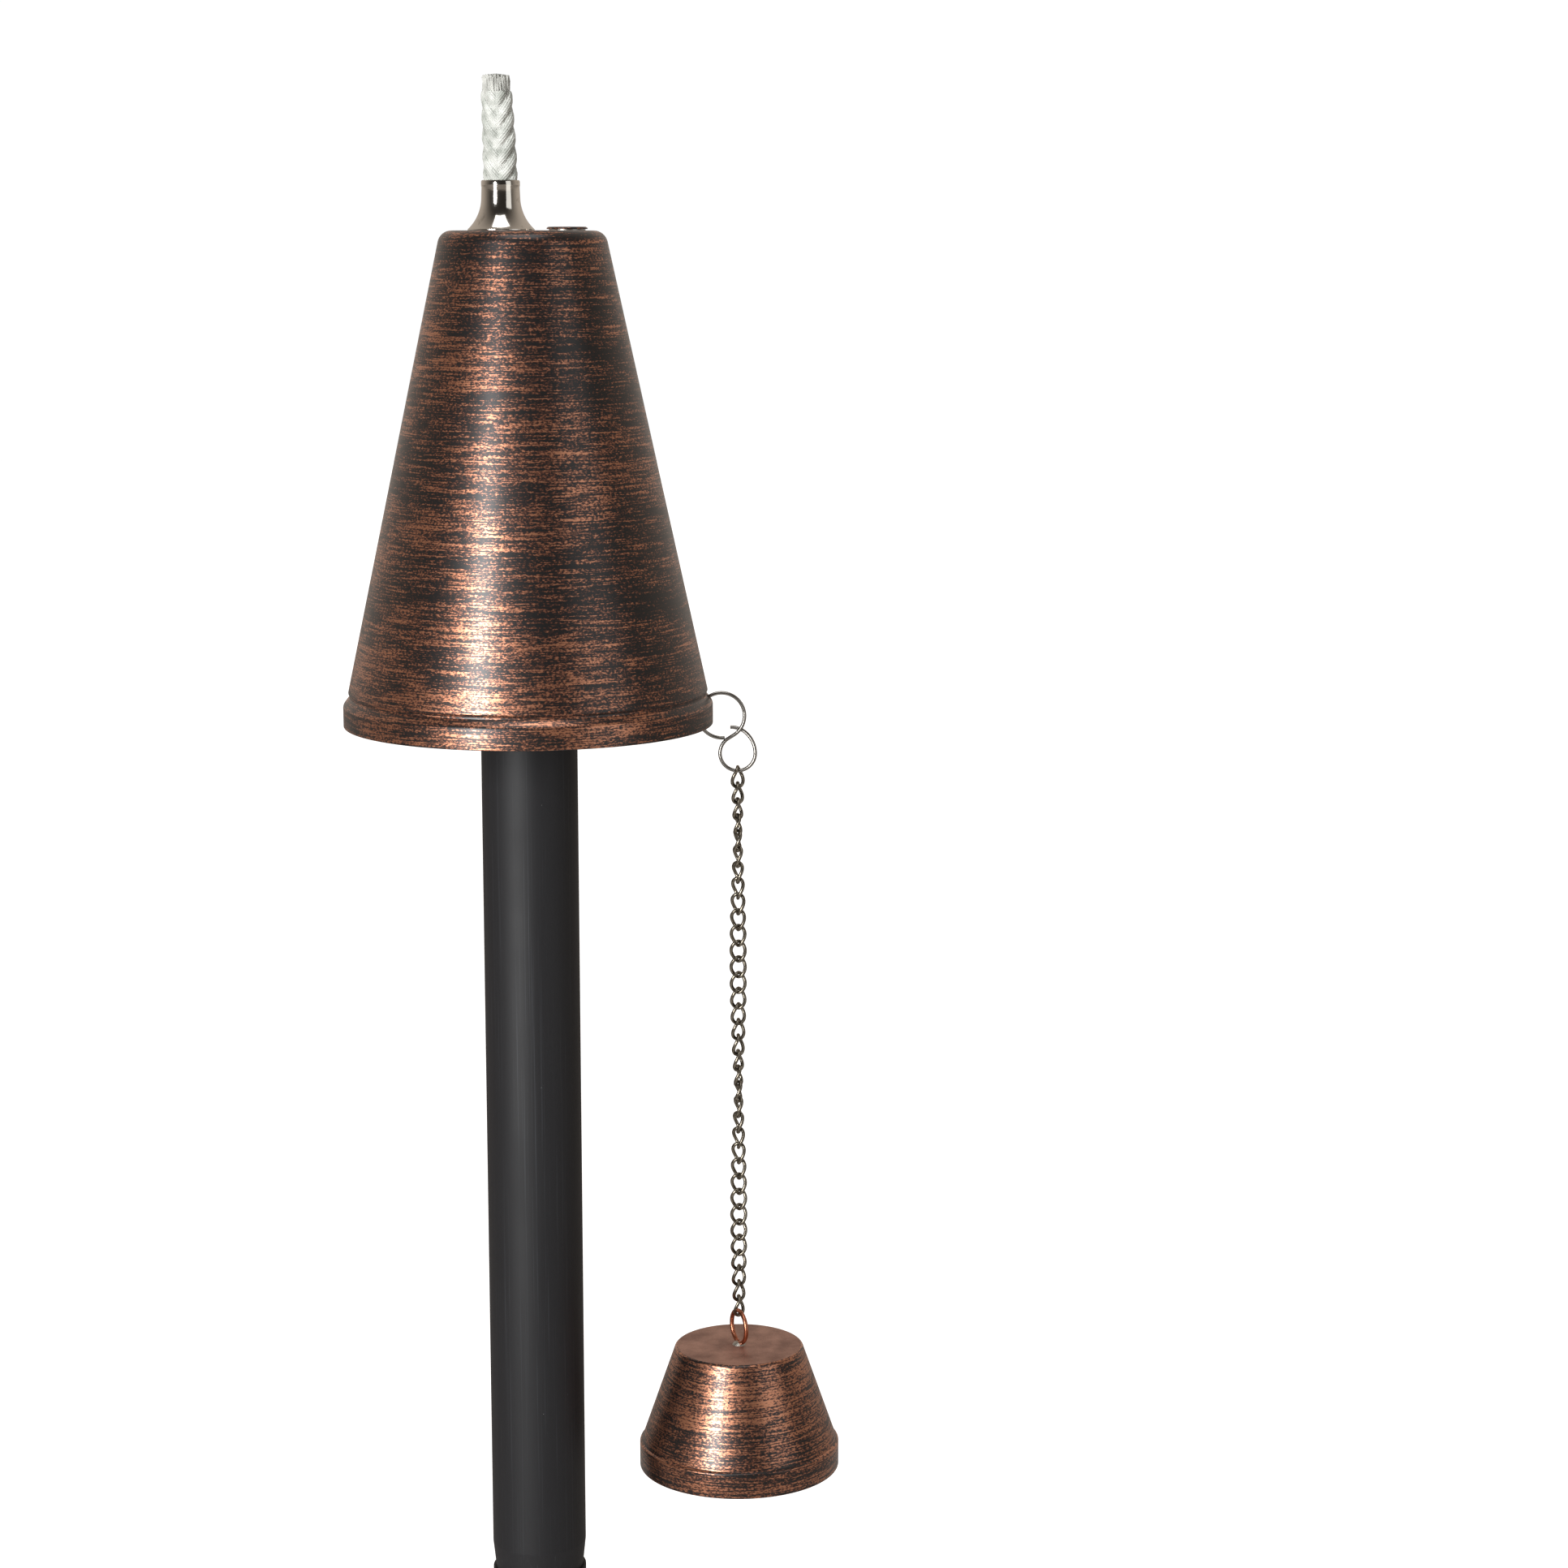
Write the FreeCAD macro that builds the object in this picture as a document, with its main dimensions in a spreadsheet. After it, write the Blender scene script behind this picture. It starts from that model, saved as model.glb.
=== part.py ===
import FreeCAD, Part
import Sketcher
import math
import os

# Garden torch on a three-piece pole. Millimetres, +Z up, ground level at z = 0,
# pole axis on the Z axis, hook and snuffer on the +X side, front toward -Y.

doc = FreeCAD.newDocument("tiki_torch")
sheet = doc.addObject("Spreadsheet::Sheet", "sizes")

SIZES = {
    # pole
    "pole_rad": 15.875,
    "wall": 1.0,
    "fit": 0.075,
    "section_len": 406.4,
    "neck_len": 45.0,
    "taper_len": 10.0,
    "seat_gap": 0.05,
    # ground spike
    "spike_len": 175.0,
    "spike_half": 12.5,
    "blade_thick": 3.6,
    "collar_rad": 15.2,
    "collar_thick": 3.0,
    "plug_len": 42.0,
    # head
    "sheet_thick": 0.8,
    "socket_depth": 68.6,
    "pan_height": 11.0,
    "head_height": 160.0,
    "band_rad": 60.6,
    "band_height": 9.4,
    "groove_rad": 58.4,
    "shoulder_rad": 58.9,
    "crown_rad": 26.5,
    "crown_round": 4.5,
    # burner and wick
    "wick_x": 6.9,
    "wick_rad": 5.55,
    "core_rad": 4.6,
    "wick_gap": 0.1,
    "tube_wall": 0.5,
    "tube_drop": 22.0,
    "ferrule_height": 15.9,
    "wick_show": 43.5,
    "core_show": 49.9,
    "wick_bend": 35.0,
    "bend_rad": 30.0,
    "wick_shift": 29.0,
    # filler
    "filler_x": 14.3,
    "neck_bore": 4.6,
    "cap_rad": 6.6,
    # hook
    "hook_wire": 0.6,
    "hook_x": 63.4,
    "hook_z": 2.45,
    "hook_hole_rad": 1.3,
    "loop_rad": 7.6,
    "eye_rad": 5.815,
    "eye_x": 5.3,
    "eye_drop": 12.5,
    # chain
    "link_wire": 0.6,
    "link_half_wide": 2.35,
    "link_pitch": 5.35,
    "link_play": 0.2,
    "link_turn": 11.057,
    "links_each": 5,
    "chain_pieces": 7,
    # snuffer
    "ring_rad": 5.5,
    "ring_wire": 0.75,
    "ring_turn": -63.0,
    "snuffer_height": 42.0,
    "snuffer_band_rad": 33.9,
    "snuffer_band": 9.0,
    "snuffer_crown": 21.6,
    "snuffer_shoulder": 32.7,
    "snuffer_thick": 0.7,
}
for row, (name, value) in enumerate(SIZES.items(), start=1):
    sheet.set("A%d" % row, name)
    sheet.set("B%d" % row, str(value))
    sheet.setAlias("B%d" % row, name)
doc.recompute()

pieces = []


class Size:
    """A number that remembers the sheet expression it came from."""

    def __init__(self, text, value):
        self.text = text
        self.value = value

    def joined(self, other, sign, value, flip=False):
        """A new size from this one, an operator and another size or number."""
        theirs = other.text if isinstance(other, Size) else str(other)
        left, right = (theirs, self.text) if flip else (self.text, theirs)
        return Size("(%s %s %s)" % (left, sign, right), value)

    def __add__(self, other):
        return self.joined(other, "+", self.value + number(other))

    def __radd__(self, other):
        return self.joined(other, "+", number(other) + self.value, True)

    def __sub__(self, other):
        return self.joined(other, "-", self.value - number(other))

    def __rsub__(self, other):
        return self.joined(other, "-", number(other) - self.value, True)

    def __mul__(self, other):
        return self.joined(other, "*", self.value * number(other))

    def __rmul__(self, other):
        return self.joined(other, "*", number(other) * self.value, True)

    def __truediv__(self, other):
        return self.joined(other, "/", self.value / number(other))

    def __neg__(self):
        return Size("(0 - %s)" % self.text, -self.value)


def number(size):
    """The plain value of a size or number."""
    return size.value if isinstance(size, Size) else float(size)


def text(size):
    """The sheet expression of a size or number."""
    return size.text if isinstance(size, Size) else str(size)


def sine(size):
    """The sine of a size in degrees."""
    return Size("sin(%s * 1 deg)" % size.text, math.sin(math.radians(size.value)))


def cosine(size):
    """The cosine of a size in degrees."""
    return Size("cos(%s * 1 deg)" % size.text, math.cos(math.radians(size.value)))


class Sizes:
    """Every sheet cell, by name."""

    def __getattr__(self, name):
        return Size("sizes." + name, float(getattr(sheet, name)))


s = Sizes()

# sizes that follow from others
neck_rad = s.pole_rad - s.wall - s.fit
seat_drop = s.taper_len * s.fit / (s.pole_rad - neck_rad)
section_up = s.section_len - s.neck_len
middle_z = s.section_len - seat_drop + s.seat_gap
upper_z = middle_z + section_up - seat_drop + s.seat_gap
pole_top = upper_z + section_up
head_z = pole_top - s.socket_depth + s.seat_gap
crown_z = head_z + s.head_height
socket_bore = s.pole_rad + s.fit
burner_bore = s.wick_rad + s.wick_gap
link_half = s.link_pitch / 2 + s.link_wire + s.link_play / 2
chain_x = s.hook_x + s.eye_x
chain_z = head_z + s.hook_z - s.eye_drop - s.eye_rad + s.hook_wire + s.link_wire + 0.06
link_count = s.links_each * s.chain_pieces
chain_end = chain_z - (link_count - 1) * s.link_pitch - 2 * link_half
ring_z = chain_end + s.link_wire + s.ring_wire + s.link_play / 2 - s.ring_rad
snuffer_top = ring_z - s.ring_rad - s.ring_wire - 0.05


def placed(made, x, z):
    """Put a piece at x along X and z up, both bound to the sheet."""
    made.setExpression(".Placement.Base.x", text(x))
    made.setExpression(".Placement.Base.z", text(z))
    pieces.append(made)
    return made


def body(label, x=0, z=0):
    """A new body with the piece's own name and place."""
    made = doc.addObject("PartDesign::Body", label)
    made.Label = label
    return placed(made, x, z)


def solid(label, shape, x=0, z=0):
    """A piece made by Part functions, with its own name and place."""
    made = doc.addObject("Part::Feature", label)
    made.Label = label
    made.Shape = shape
    return placed(made, x, z)


def sketch(owner, role, offset=0):
    """An empty sketch on one of the body's own planes, moved along its normal."""
    made = owner.newObject("Sketcher::SketchObject", owner.Label + "_sketch")
    plane = [f for f in owner.Origin.OriginFeatures if f.Role == role][0]
    made.AttachmentSupport = (plane, [""])
    made.MapMode = "FlatFace"
    made.setExpression(".AttachmentOffset.Base.z", text(offset))
    return made


def tie(made, kind, places, size):
    """Add a constraint and bind its value to the sheet."""
    index = made.addConstraint(Sketcher.Constraint(kind, *places, number(size)))
    made.setExpression("Constraints[%d]" % index, text(size))


def pinned(made, geometry, point, x, y):
    """Hold a point of a sketch at x and y from the origin."""
    tie(made, "DistanceX", (-1, 1, geometry, point), x)
    tie(made, "DistanceY", (-1, 1, geometry, point), y)


def arc_between(a, b, radius, side):
    """An arc from a to b; side is +1 if its centre lies left of the way drawn."""
    half = (b - a) * 0.5
    normal = FreeCAD.Vector(-half.y, half.x, 0).normalize() * side
    centre = a + half + normal * math.sqrt(radius ** 2 - half.Length ** 2)
    return Part.Arc(a, centre - normal * radius, b)


def outline(made, corners, arcs=None, closed=True):
    """Draw sides through corners, each an (x, y) pair of sizes.

    arcs maps a side's number to (radius, side of its centre).
    """
    arcs = arcs or {}
    points = [FreeCAD.Vector(number(x), number(y), 0) for x, y in corners]
    count = len(points) if closed else len(points) - 1
    sides = []
    for k in range(count):
        a = points[k]
        b = points[(k + 1) % len(points)]
        if k in arcs:
            radius, side = arcs[k]
            geometry = made.addGeometry(arc_between(a, b, number(radius), side), False)
        else:
            geometry = made.addGeometry(Part.LineSegment(a, b), False)
        ahead = made.getPoint(geometry, 1).isEqual(a, 1e-5)
        sides.append((geometry, 1, 2) if ahead else (geometry, 2, 1))
    for k, (geometry, begin, finish) in enumerate(sides):
        pinned(made, geometry, begin, *corners[k])
        if closed or k + 1 < count:
            follow = sides[(k + 1) % count]
            joint = Sketcher.Constraint("Coincident", geometry, finish, *follow[:2])
            made.addConstraint(joint)
        if k in arcs:
            tie(made, "Radius", (geometry,), arcs[k][0])
    if not closed:
        pinned(made, sides[-1][0], sides[-1][2], *corners[-1])


def circles(made, x, y, radii):
    """Circles of several radii around one centre."""
    centre = FreeCAD.Vector(number(x), number(y), 0)
    for radius in radii:
        round_line = Part.Circle(centre, FreeCAD.Vector(0, 0, 1), number(radius))
        geometry = made.addGeometry(round_line, False)
        tie(made, "Radius", (geometry,), radius)
        pinned(made, geometry, 3, x, y)


def turned(owner, corners, arcs=None):
    """Turn a half profile of (radius, height) corners around the body's axis."""
    profile = sketch(owner, "XZ_Plane")
    outline(profile, corners, arcs)
    made = owner.newObject("PartDesign::Revolution", owner.Label + "_turned")
    made.Profile = profile
    made.ReferenceAxis = (profile, ["V_Axis"])
    made.Angle = 360
    doc.recompute()
    return made


def bored(owner, x, y, radius, plane, depth, role="XY_Plane"):
    """Cut a round hole and check that metal came away."""
    before = owner.Shape.Volume
    hole = sketch(owner, role, plane)
    circles(hole, x, y, [radius])
    made = owner.newObject("PartDesign::Pocket", owner.Label + "_hole")
    made.Profile = hole
    made.setExpression(".Length", text(depth))
    doc.recompute()
    if owner.Shape.Volume > before - 0.2:
        raise RuntimeError(owner.Label + ": the hole cut nothing")
    return made


def rounded(owner, radius, wanted):
    """Round the circular edges that match (radius, height) pairs."""
    last = owner.Tip
    names = []
    for index, edge in enumerate(last.Shape.Edges, start=1):
        curve = edge.Curve
        if not hasattr(curve, "Radius"):
            continue
        for rad, height in wanted:
            near = abs(curve.Radius - number(rad)) < 0.02
            if near and abs(curve.Center.z - number(height)) < 0.02:
                names.append("Edge%d" % index)
    if len(names) < len(wanted):
        raise RuntimeError(owner.Label + ": an edge to round is missing")
    made = owner.newObject("PartDesign::Fillet", owner.Label + "_round")
    made.Base = (last, names)
    made.setExpression(".Radius", text(radius))
    doc.recompute()
    return made


# ---- ground spike: cross-ribbed moulding with a collar and a push-in plug ----
def make_spike():
    spike = body("ground_spike")
    inside = s.pole_rad - s.wall
    turned(
        spike,
        [
            (0, -s.spike_len),
            (1.2, 3 - s.spike_len),
            (5.5, -s.collar_thick - 6),
            (s.collar_rad - 3, -s.collar_thick),
            (s.collar_rad, -s.collar_thick),
            (s.collar_rad, 0),
            (inside - s.fit, 0),
            (inside - s.fit, s.plug_len - 4),
            (inside - 1.5, s.plug_len),
            (0, s.plug_len),
        ],
    )
    for role in ("XZ_Plane", "YZ_Plane"):
        blade = sketch(spike, role)
        outline(
            blade,
            [
                (-s.spike_half, -s.collar_thick - 0.01),
                (-s.spike_half, -s.spike_len * 0.3),
                (-1, -s.spike_len + 1),
                (1, -s.spike_len + 1),
                (s.spike_half, -s.spike_len * 0.3),
                (s.spike_half, -s.collar_thick - 0.01),
            ],
        )
        pad = spike.newObject("PartDesign::Pad", "spike_blade")
        pad.Profile = blade
        pad.SideType = "Symmetric"
        pad.setExpression(".Length", text(s.blade_thick))
        doc.recompute()
    bored(spike, 0, 0, inside - 4, s.plug_len, s.plug_len - 3)


# ---- pole: three tubes, two of them swaged to a neck at the foot ----
def make_pole():
    inside = s.pole_rad - s.wall
    lower = body("pole_lower")
    turned(
        lower,
        [
            (inside, s.seat_gap),
            (s.pole_rad, s.seat_gap),
            (s.pole_rad, s.section_len),
            (inside, s.section_len),
        ],
    )
    for label, z in (("pole_middle", middle_z), ("pole_upper", upper_z)):
        tube = body(label, z=z)
        turned(
            tube,
            [
                (neck_rad - s.wall, -s.neck_len),
                (neck_rad, -s.neck_len),
                (neck_rad, 0),
                (s.pole_rad, s.taper_len),
                (s.pole_rad, section_up),
                (inside, section_up),
                (inside, s.taper_len + 0.5),
                (neck_rad - s.wall, 0.5),
            ],
        )


# ---- head: spun shell, base pan and pole socket ----
def make_head():
    shell = body("head_shell", z=head_z)
    cone_foot = s.band_height + 1.6
    lean = (s.shoulder_rad - s.crown_rad) / (s.head_height - cone_foot)
    inset = 1.03 * s.sheet_thick
    turned(
        shell,
        [
            (s.band_rad - s.sheet_thick, 0),
            (s.band_rad - 0.25, 0),
            (s.band_rad, 0.5),
            (s.band_rad, s.band_height - 2.4),
            (s.band_rad - 1.6, s.band_height - 0.4),
            (s.groove_rad, s.band_height),
            (s.groove_rad, s.band_height + 0.8),
            (s.shoulder_rad, cone_foot),
            (s.crown_rad, s.head_height),
            (0, s.head_height),
            (0, s.head_height - s.sheet_thick),
            (s.crown_rad - inset + lean * s.sheet_thick, s.head_height - s.sheet_thick),
            (s.shoulder_rad - inset, cone_foot),
            (s.groove_rad - s.sheet_thick, s.band_height + 0.8),
            (s.groove_rad - s.sheet_thick, s.band_height - 0.3),
            (s.band_rad - 1.6 - s.sheet_thick, s.band_height - 1.2),
            (s.band_rad - s.sheet_thick, s.band_height - 2.9),
        ],
        {3: (2.6, 1)},
    )
    rounded(shell, s.crown_round, [(s.crown_rad, s.head_height)])
    bored(shell, -s.wick_x, 0, burner_bore + s.tube_wall + 0.05, s.head_height, 3)
    bored(shell, s.filler_x, 0, s.neck_bore + s.tube_wall + 0.05, s.head_height, 3)
    hole_z = s.hook_z + 6.25
    bored(shell, 0, hole_z, s.hook_hole_rad, s.band_rad + 2, 6, "YZ_Plane")

    pan = body("base_pan", z=head_z)
    rim = s.shoulder_rad - inset - 1.3
    hole = socket_bore + s.sheet_thick + 0.05
    turned(
        pan,
        [
            (hole, s.pan_height),
            (s.groove_rad - s.sheet_thick - 0.05, s.pan_height),
            (rim, s.pan_height + 4),
            (rim - s.sheet_thick, s.pan_height + 4),
            (s.groove_rad - 2 * s.sheet_thick - 0.6, s.pan_height + s.sheet_thick),
            (hole, s.pan_height + s.sheet_thick),
        ],
    )

    socket = body("pole_socket", z=head_z)
    top = s.socket_depth + s.sheet_thick
    foot = s.pan_height - 0.02
    turned(
        socket,
        [
            (socket_bore, foot - s.sheet_thick),
            (socket_bore + 6, foot - s.sheet_thick),
            (socket_bore + 6, foot),
            (socket_bore + s.sheet_thick, foot),
            (socket_bore + s.sheet_thick, top),
            (0, top),
            (0, s.socket_depth),
            (socket_bore, s.socket_depth),
        ],
    )
    rounded(socket, 0.6, [(socket_bore + s.sheet_thick, top)])


# ---- burner: soldered tube, flared ferrule, and the wick through both ----
def make_burner():
    outside = burner_bore + s.tube_wall
    tube = body("wick_tube", x=-s.wick_x, z=crown_z)
    turned(
        tube,
        [
            (burner_bore, -s.tube_drop),
            (outside, -s.tube_drop),
            (outside, 0.02),
            (outside + 1.8, 0.02),
            (outside + 1.8, 0.45),
            (outside, 0.45),
            (outside, 4.5),
            (burner_bore, 4.5),
        ],
    )

    ferrule = body("wick_ferrule", x=-s.wick_x, z=crown_z)
    turned(
        ferrule,
        [
            (burner_bore + 4.25, 0.02),
            (burner_bore + 5.1, 0.02),
            (burner_bore + 5.1, 0.45),
            (burner_bore + 4.85, 0.6),
            (burner_bore + 0.6, 10.5),
            (burner_bore + 0.45, s.ferrule_height - 0.4),
            (burner_bore + 0.25, s.ferrule_height),
            (burner_bore, s.ferrule_height),
            (burner_bore, 10.5),
        ],
        {3: (14, -1), 8: (14.6, 1)},
    )

    side = s.bend_rad * (1 - cosine(s.wick_bend))
    rise = s.bend_rad * sine(s.wick_bend)
    slope = sine(s.wick_bend) / cosine(s.wick_bend)
    slant = (s.wick_shift - 2 * side) / slope
    bend = Size("(0 - 45)", -45)
    route = [
        (0, bend),
        (-side, bend - rise),
        (side - s.wick_shift, bend - rise - slant),
        (-s.wick_shift, bend - 2 * rise - slant),
        (-s.wick_shift, s.pan_height + 3 - s.head_height),
    ]
    for label, show, radii in (
        ("wick_sheath", s.wick_show, [s.wick_rad, s.core_rad + 0.05]),
        ("wick_core", s.core_show, [s.core_rad]),
    ):
        wick = body(label, x=-s.wick_x, z=crown_z)
        path = sketch(wick, "XZ_Plane")
        arcs = {1: (s.bend_rad, -1), 3: (s.bend_rad, 1)}
        outline(path, [(0, show)] + route, arcs, closed=False)
        section = sketch(wick, "XY_Plane", show)
        circles(section, 0, 0, radii)
        pipe = wick.newObject("PartDesign::AdditivePipe", label + "_swept")
        pipe.Profile = section
        pipe.Spine = (path, ["Edge%d" % (k + 1) for k in range(path.GeometryCount)])
        doc.recompute()


# ---- filler: soldered neck, lift-off cap and its seal ----
def make_filler():
    neck = body("filler_neck", x=s.filler_x, z=crown_z)
    turned(
        neck,
        [
            (s.neck_bore, -11),
            (s.neck_bore + s.tube_wall, -11),
            (s.neck_bore + s.tube_wall, 0.02),
            (s.neck_bore + 1.3, 0.02),
            (s.neck_bore + 1.3, 0.4),
            (s.neck_bore, 0.4),
        ],
    )
    plug = s.neck_bore - 0.4
    cap = body("filler_cap", x=s.filler_x, z=crown_z)
    turned(
        cap,
        [
            (0, -8),
            (plug - 0.5, -8),
            (plug, -7),
            (plug, -5.7),
            (plug - 0.8, -5.7),
            (plug - 0.8, -4.3),
            (plug, -4.3),
            (plug, 0.45),
            (s.cap_rad, 0.45),
            (s.cap_rad, 0.8),
            (s.cap_rad - 0.6, 1.2),
            (0, 1.2),
        ],
    )
    seal = body("filler_seal", x=s.filler_x, z=crown_z)
    section = sketch(seal, "XZ_Plane")
    circles(section, s.neck_bore - 0.6, -5, [0.54])
    ring = seal.newObject("PartDesign::Revolution", "seal_ring")
    ring.Profile = section
    ring.ReferenceAxis = (section, ["V_Axis"])
    ring.Angle = 360
    doc.recompute()


# ---- S-hook bent from round wire, its upper loop closed on the band ----
def make_hook():
    big = number(s.loop_rad)
    small = number(s.eye_rad)
    eye = FreeCAD.Vector(number(s.eye_x), 0, -number(s.eye_drop))
    leave = math.atan2(eye.z, eye.x) + math.acos((big + small) / eye.Length)
    arrive = leave + math.pi
    begin = leave + math.radians(336)
    behind = FreeCAD.Vector(0, 2 * number(s.hook_wire) + 0.25, 0)
    up = FreeCAD.Vector(0, 0, 1)

    def on_loop(turn):
        return FreeCAD.Vector(big * math.cos(turn), 0, big * math.sin(turn))

    def on_eye(turn):
        return eye + FreeCAD.Vector(small * math.cos(turn), 0, small * math.sin(turn))

    # the upper loop runs clockwise from its cut end and the lower one anticlockwise;
    # both cut ends spring back behind the spine between them
    start = on_loop(begin) + behind
    along = FreeCAD.Vector(math.sin(begin), 0, -math.cos(begin))
    finish = eye + FreeCAD.Vector(-0.42 * small, 0, 1.46 * small) + behind
    edges = arc_pair(start, along, on_loop(math.pi), up)
    edges += [
        Part.Arc(on_loop(math.pi), on_loop((math.pi + leave) / 2), on_loop(leave)).toShape(),
        Part.makeLine(on_loop(leave), on_eye(arrive)),
        Part.Arc(on_eye(arrive), on_eye(arrive / 2 + math.pi), on_eye(0)).toShape(),
    ]
    edges += arc_pair(on_eye(0), up, finish, FreeCAD.Vector(-1, 0, -0.05).normalize())
    section = Part.Wire(Part.makeCircle(number(s.hook_wire), start, along))
    shape = Part.Wire(edges).makePipeShell([section], True, False)
    solid("s_hook", shape, x=s.hook_x, z=head_z + s.hook_z)


# ---- chain: twisted oval links in seven short pieces ----
def link_point(turn, around):
    """A point of a twisted oval whose top end lies at the given turn."""
    half = number(link_half)
    height = half * math.sin(around)
    twist = number(s.link_turn) - 90.0
    way = math.radians(turn + twist * (half - height) / (2 * half))
    out = number(s.link_half_wide) * math.cos(around)
    return FreeCAD.Vector(out * math.cos(way), out * math.sin(way), height - half)


def link_direction(turn, around):
    """The way the oval runs at a point."""
    step = 1e-5
    ahead = link_point(turn, around + step)
    return (ahead - link_point(turn, around - step)).normalize()


def arc_leaving(start, way, end):
    """The arc that leaves start in a direction and reaches end."""
    chord = end - start
    axis = way.cross(chord).normalize()
    inward = axis.cross(way).normalize()
    centre = start + inward * (chord.dot(chord) / (2 * chord.dot(inward)))
    outward = ((start + end) * 0.5 - centre).normalize()
    return Part.Arc(start, centre + outward * (start - centre).Length, end)


def arc_pair(start, way, end, way_end):
    """Two arcs that meet tangentially between two points with directions."""
    chord = end - start
    a = 2 * (1 - way.dot(way_end))
    b = 2 * chord.dot(way + way_end)
    reach = (math.sqrt(b * b + 4 * a * chord.dot(chord)) - b) / (2 * a)
    meet = (start + end + (way - way_end) * reach) * 0.5
    half = meet - start
    way_meet = half * (2 * half.dot(way) / half.dot(half)) - way
    return [
        arc_leaving(start, way, meet).toShape(),
        arc_leaving(meet, way_meet, end).toShape(),
    ]


def link_shape(turn):
    """A link bent from round wire in tangent arcs, hung from its top."""
    bends = 6
    stops = [math.pi / bends + 2 * math.pi * k / bends for k in range(bends + 1)]
    edges = []
    for first, last in zip(stops, stops[1:]):
        edges += arc_pair(
            link_point(turn, first),
            link_direction(turn, first),
            link_point(turn, last),
            link_direction(turn, last),
        )
    walls = []
    for half_route in (edges[:bends], edges[bends:]):
        edge = half_route[0]
        start = edge.valueAt(edge.FirstParameter)
        way = edge.tangentAt(edge.FirstParameter)
        section = Part.Wire(Part.makeCircle(number(s.link_wire), start, way))
        bent = Part.Wire(half_route).makePipeShell([section], True, False)
        walls += [f for f in bent.Faces if not isinstance(f.Surface, Part.Plane)]
    return Part.Solid(Part.Shell(walls))


def make_chain():
    each = int(number(s.links_each))
    for piece in range(int(number(s.chain_pieces))):
        links = []
        for k in range(each):
            link = link_shape(90.0 + number(s.link_turn) * (piece * each + k))
            link.translate(FreeCAD.Vector(0, 0, -k * number(s.link_pitch)))
            links.append(link)
        z = chain_z - piece * each * s.link_pitch
        solid("chain_%d" % (piece + 1), Part.makeCompound(links), x=chain_x, z=z)


# ---- snuffer: spun cap, its split ring and the solder that holds the ring ----
def make_snuffer():
    ring = body("snuffer_ring", x=chain_x, z=ring_z)
    ring.Placement = FreeCAD.Placement(
        ring.Placement.Base, FreeCAD.Rotation(FreeCAD.Vector(0, 0, 1), number(s.ring_turn))
    )
    section = sketch(ring, "XY_Plane")
    circles(section, s.ring_rad, 0, [s.ring_wire])
    loop = ring.newObject("PartDesign::Revolution", "ring_bent")
    loop.Profile = section
    loop.ReferenceAxis = (section, ["V_Axis"])
    loop.Angle = 355
    doc.recompute()

    shell = body("snuffer_shell", x=chain_x, z=snuffer_top)
    band = s.snuffer_band
    foot = -s.snuffer_height
    cone_foot = foot + band + 1.2
    crown = s.snuffer_crown
    lean = (s.snuffer_shoulder - crown) / (-cone_foot)
    thick = s.snuffer_thick
    turned(
        shell,
        [
            (s.snuffer_band_rad - thick, foot),
            (s.snuffer_band_rad - 0.25, foot),
            (s.snuffer_band_rad, foot + 0.4),
            (s.snuffer_band_rad, foot + band - 1.2),
            (s.snuffer_band_rad - 0.9, foot + band),
            (s.snuffer_shoulder, cone_foot),
            (crown, 0),
            (0, 0),
            (0, -thick),
            (crown + lean * thick - 1.03 * thick, -thick),
            (s.snuffer_shoulder - 1.03 * thick, cone_foot - 0.2),
            (s.snuffer_band_rad - 0.9 - thick, foot + band - 0.5),
            (s.snuffer_band_rad - thick, foot + band - 1.5),
        ],
        {3: (1.6, 1)},
    )
    rounded(shell, 1.2, [(crown, 0)])

    blob = Part.makeSphere(2.6, FreeCAD.Vector(0, 0, -1.2))
    slab = Part.makeBox(10, 10, 4, FreeCAD.Vector(-5, -5, 0.02))
    hollow = Part.makeTorus(
        number(s.ring_rad),
        number(s.ring_wire) + 0.02,
        FreeCAD.Vector(0, 0, number(ring_z - snuffer_top)),
        FreeCAD.Vector(1, 0, 0).cross(FreeCAD.Vector(0, 0, 1)),
    )
    hollow.rotate(
        FreeCAD.Vector(0, 0, 0), FreeCAD.Vector(0, 0, 1), number(s.ring_turn)
    )
    solder = blob.common(slab).cut(hollow)
    solid("ring_solder", solder, x=chain_x, z=snuffer_top)


def main():
    make_spike()
    make_pole()
    make_head()
    make_burner()
    make_filler()
    make_hook()
    make_chain()
    make_snuffer()
    doc.recompute()
    for item in doc.Objects:
        if "Invalid" in item.State or "Error" in item.State:
            raise RuntimeError(item.Label + " did not compute")
    os.makedirs("parts", exist_ok=True)
    for piece in pieces:
        shape = piece.Shape
        if shape.isNull() or not shape.isValid() or not shape.Solids:
            raise RuntimeError(piece.Label + " has no sound shape")
        shape.exportStep("parts/%s.step" % piece.Label)


main()
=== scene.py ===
"""Looks of the garden torch: a spun copper-and-black head, its wick, chain, snuffer and pole."""

import logging
import math
import random
from dataclasses import dataclass, field
from enum import Enum
from typing import Any, Sequence

import bpy
from mathutils import Matrix, Vector

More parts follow.
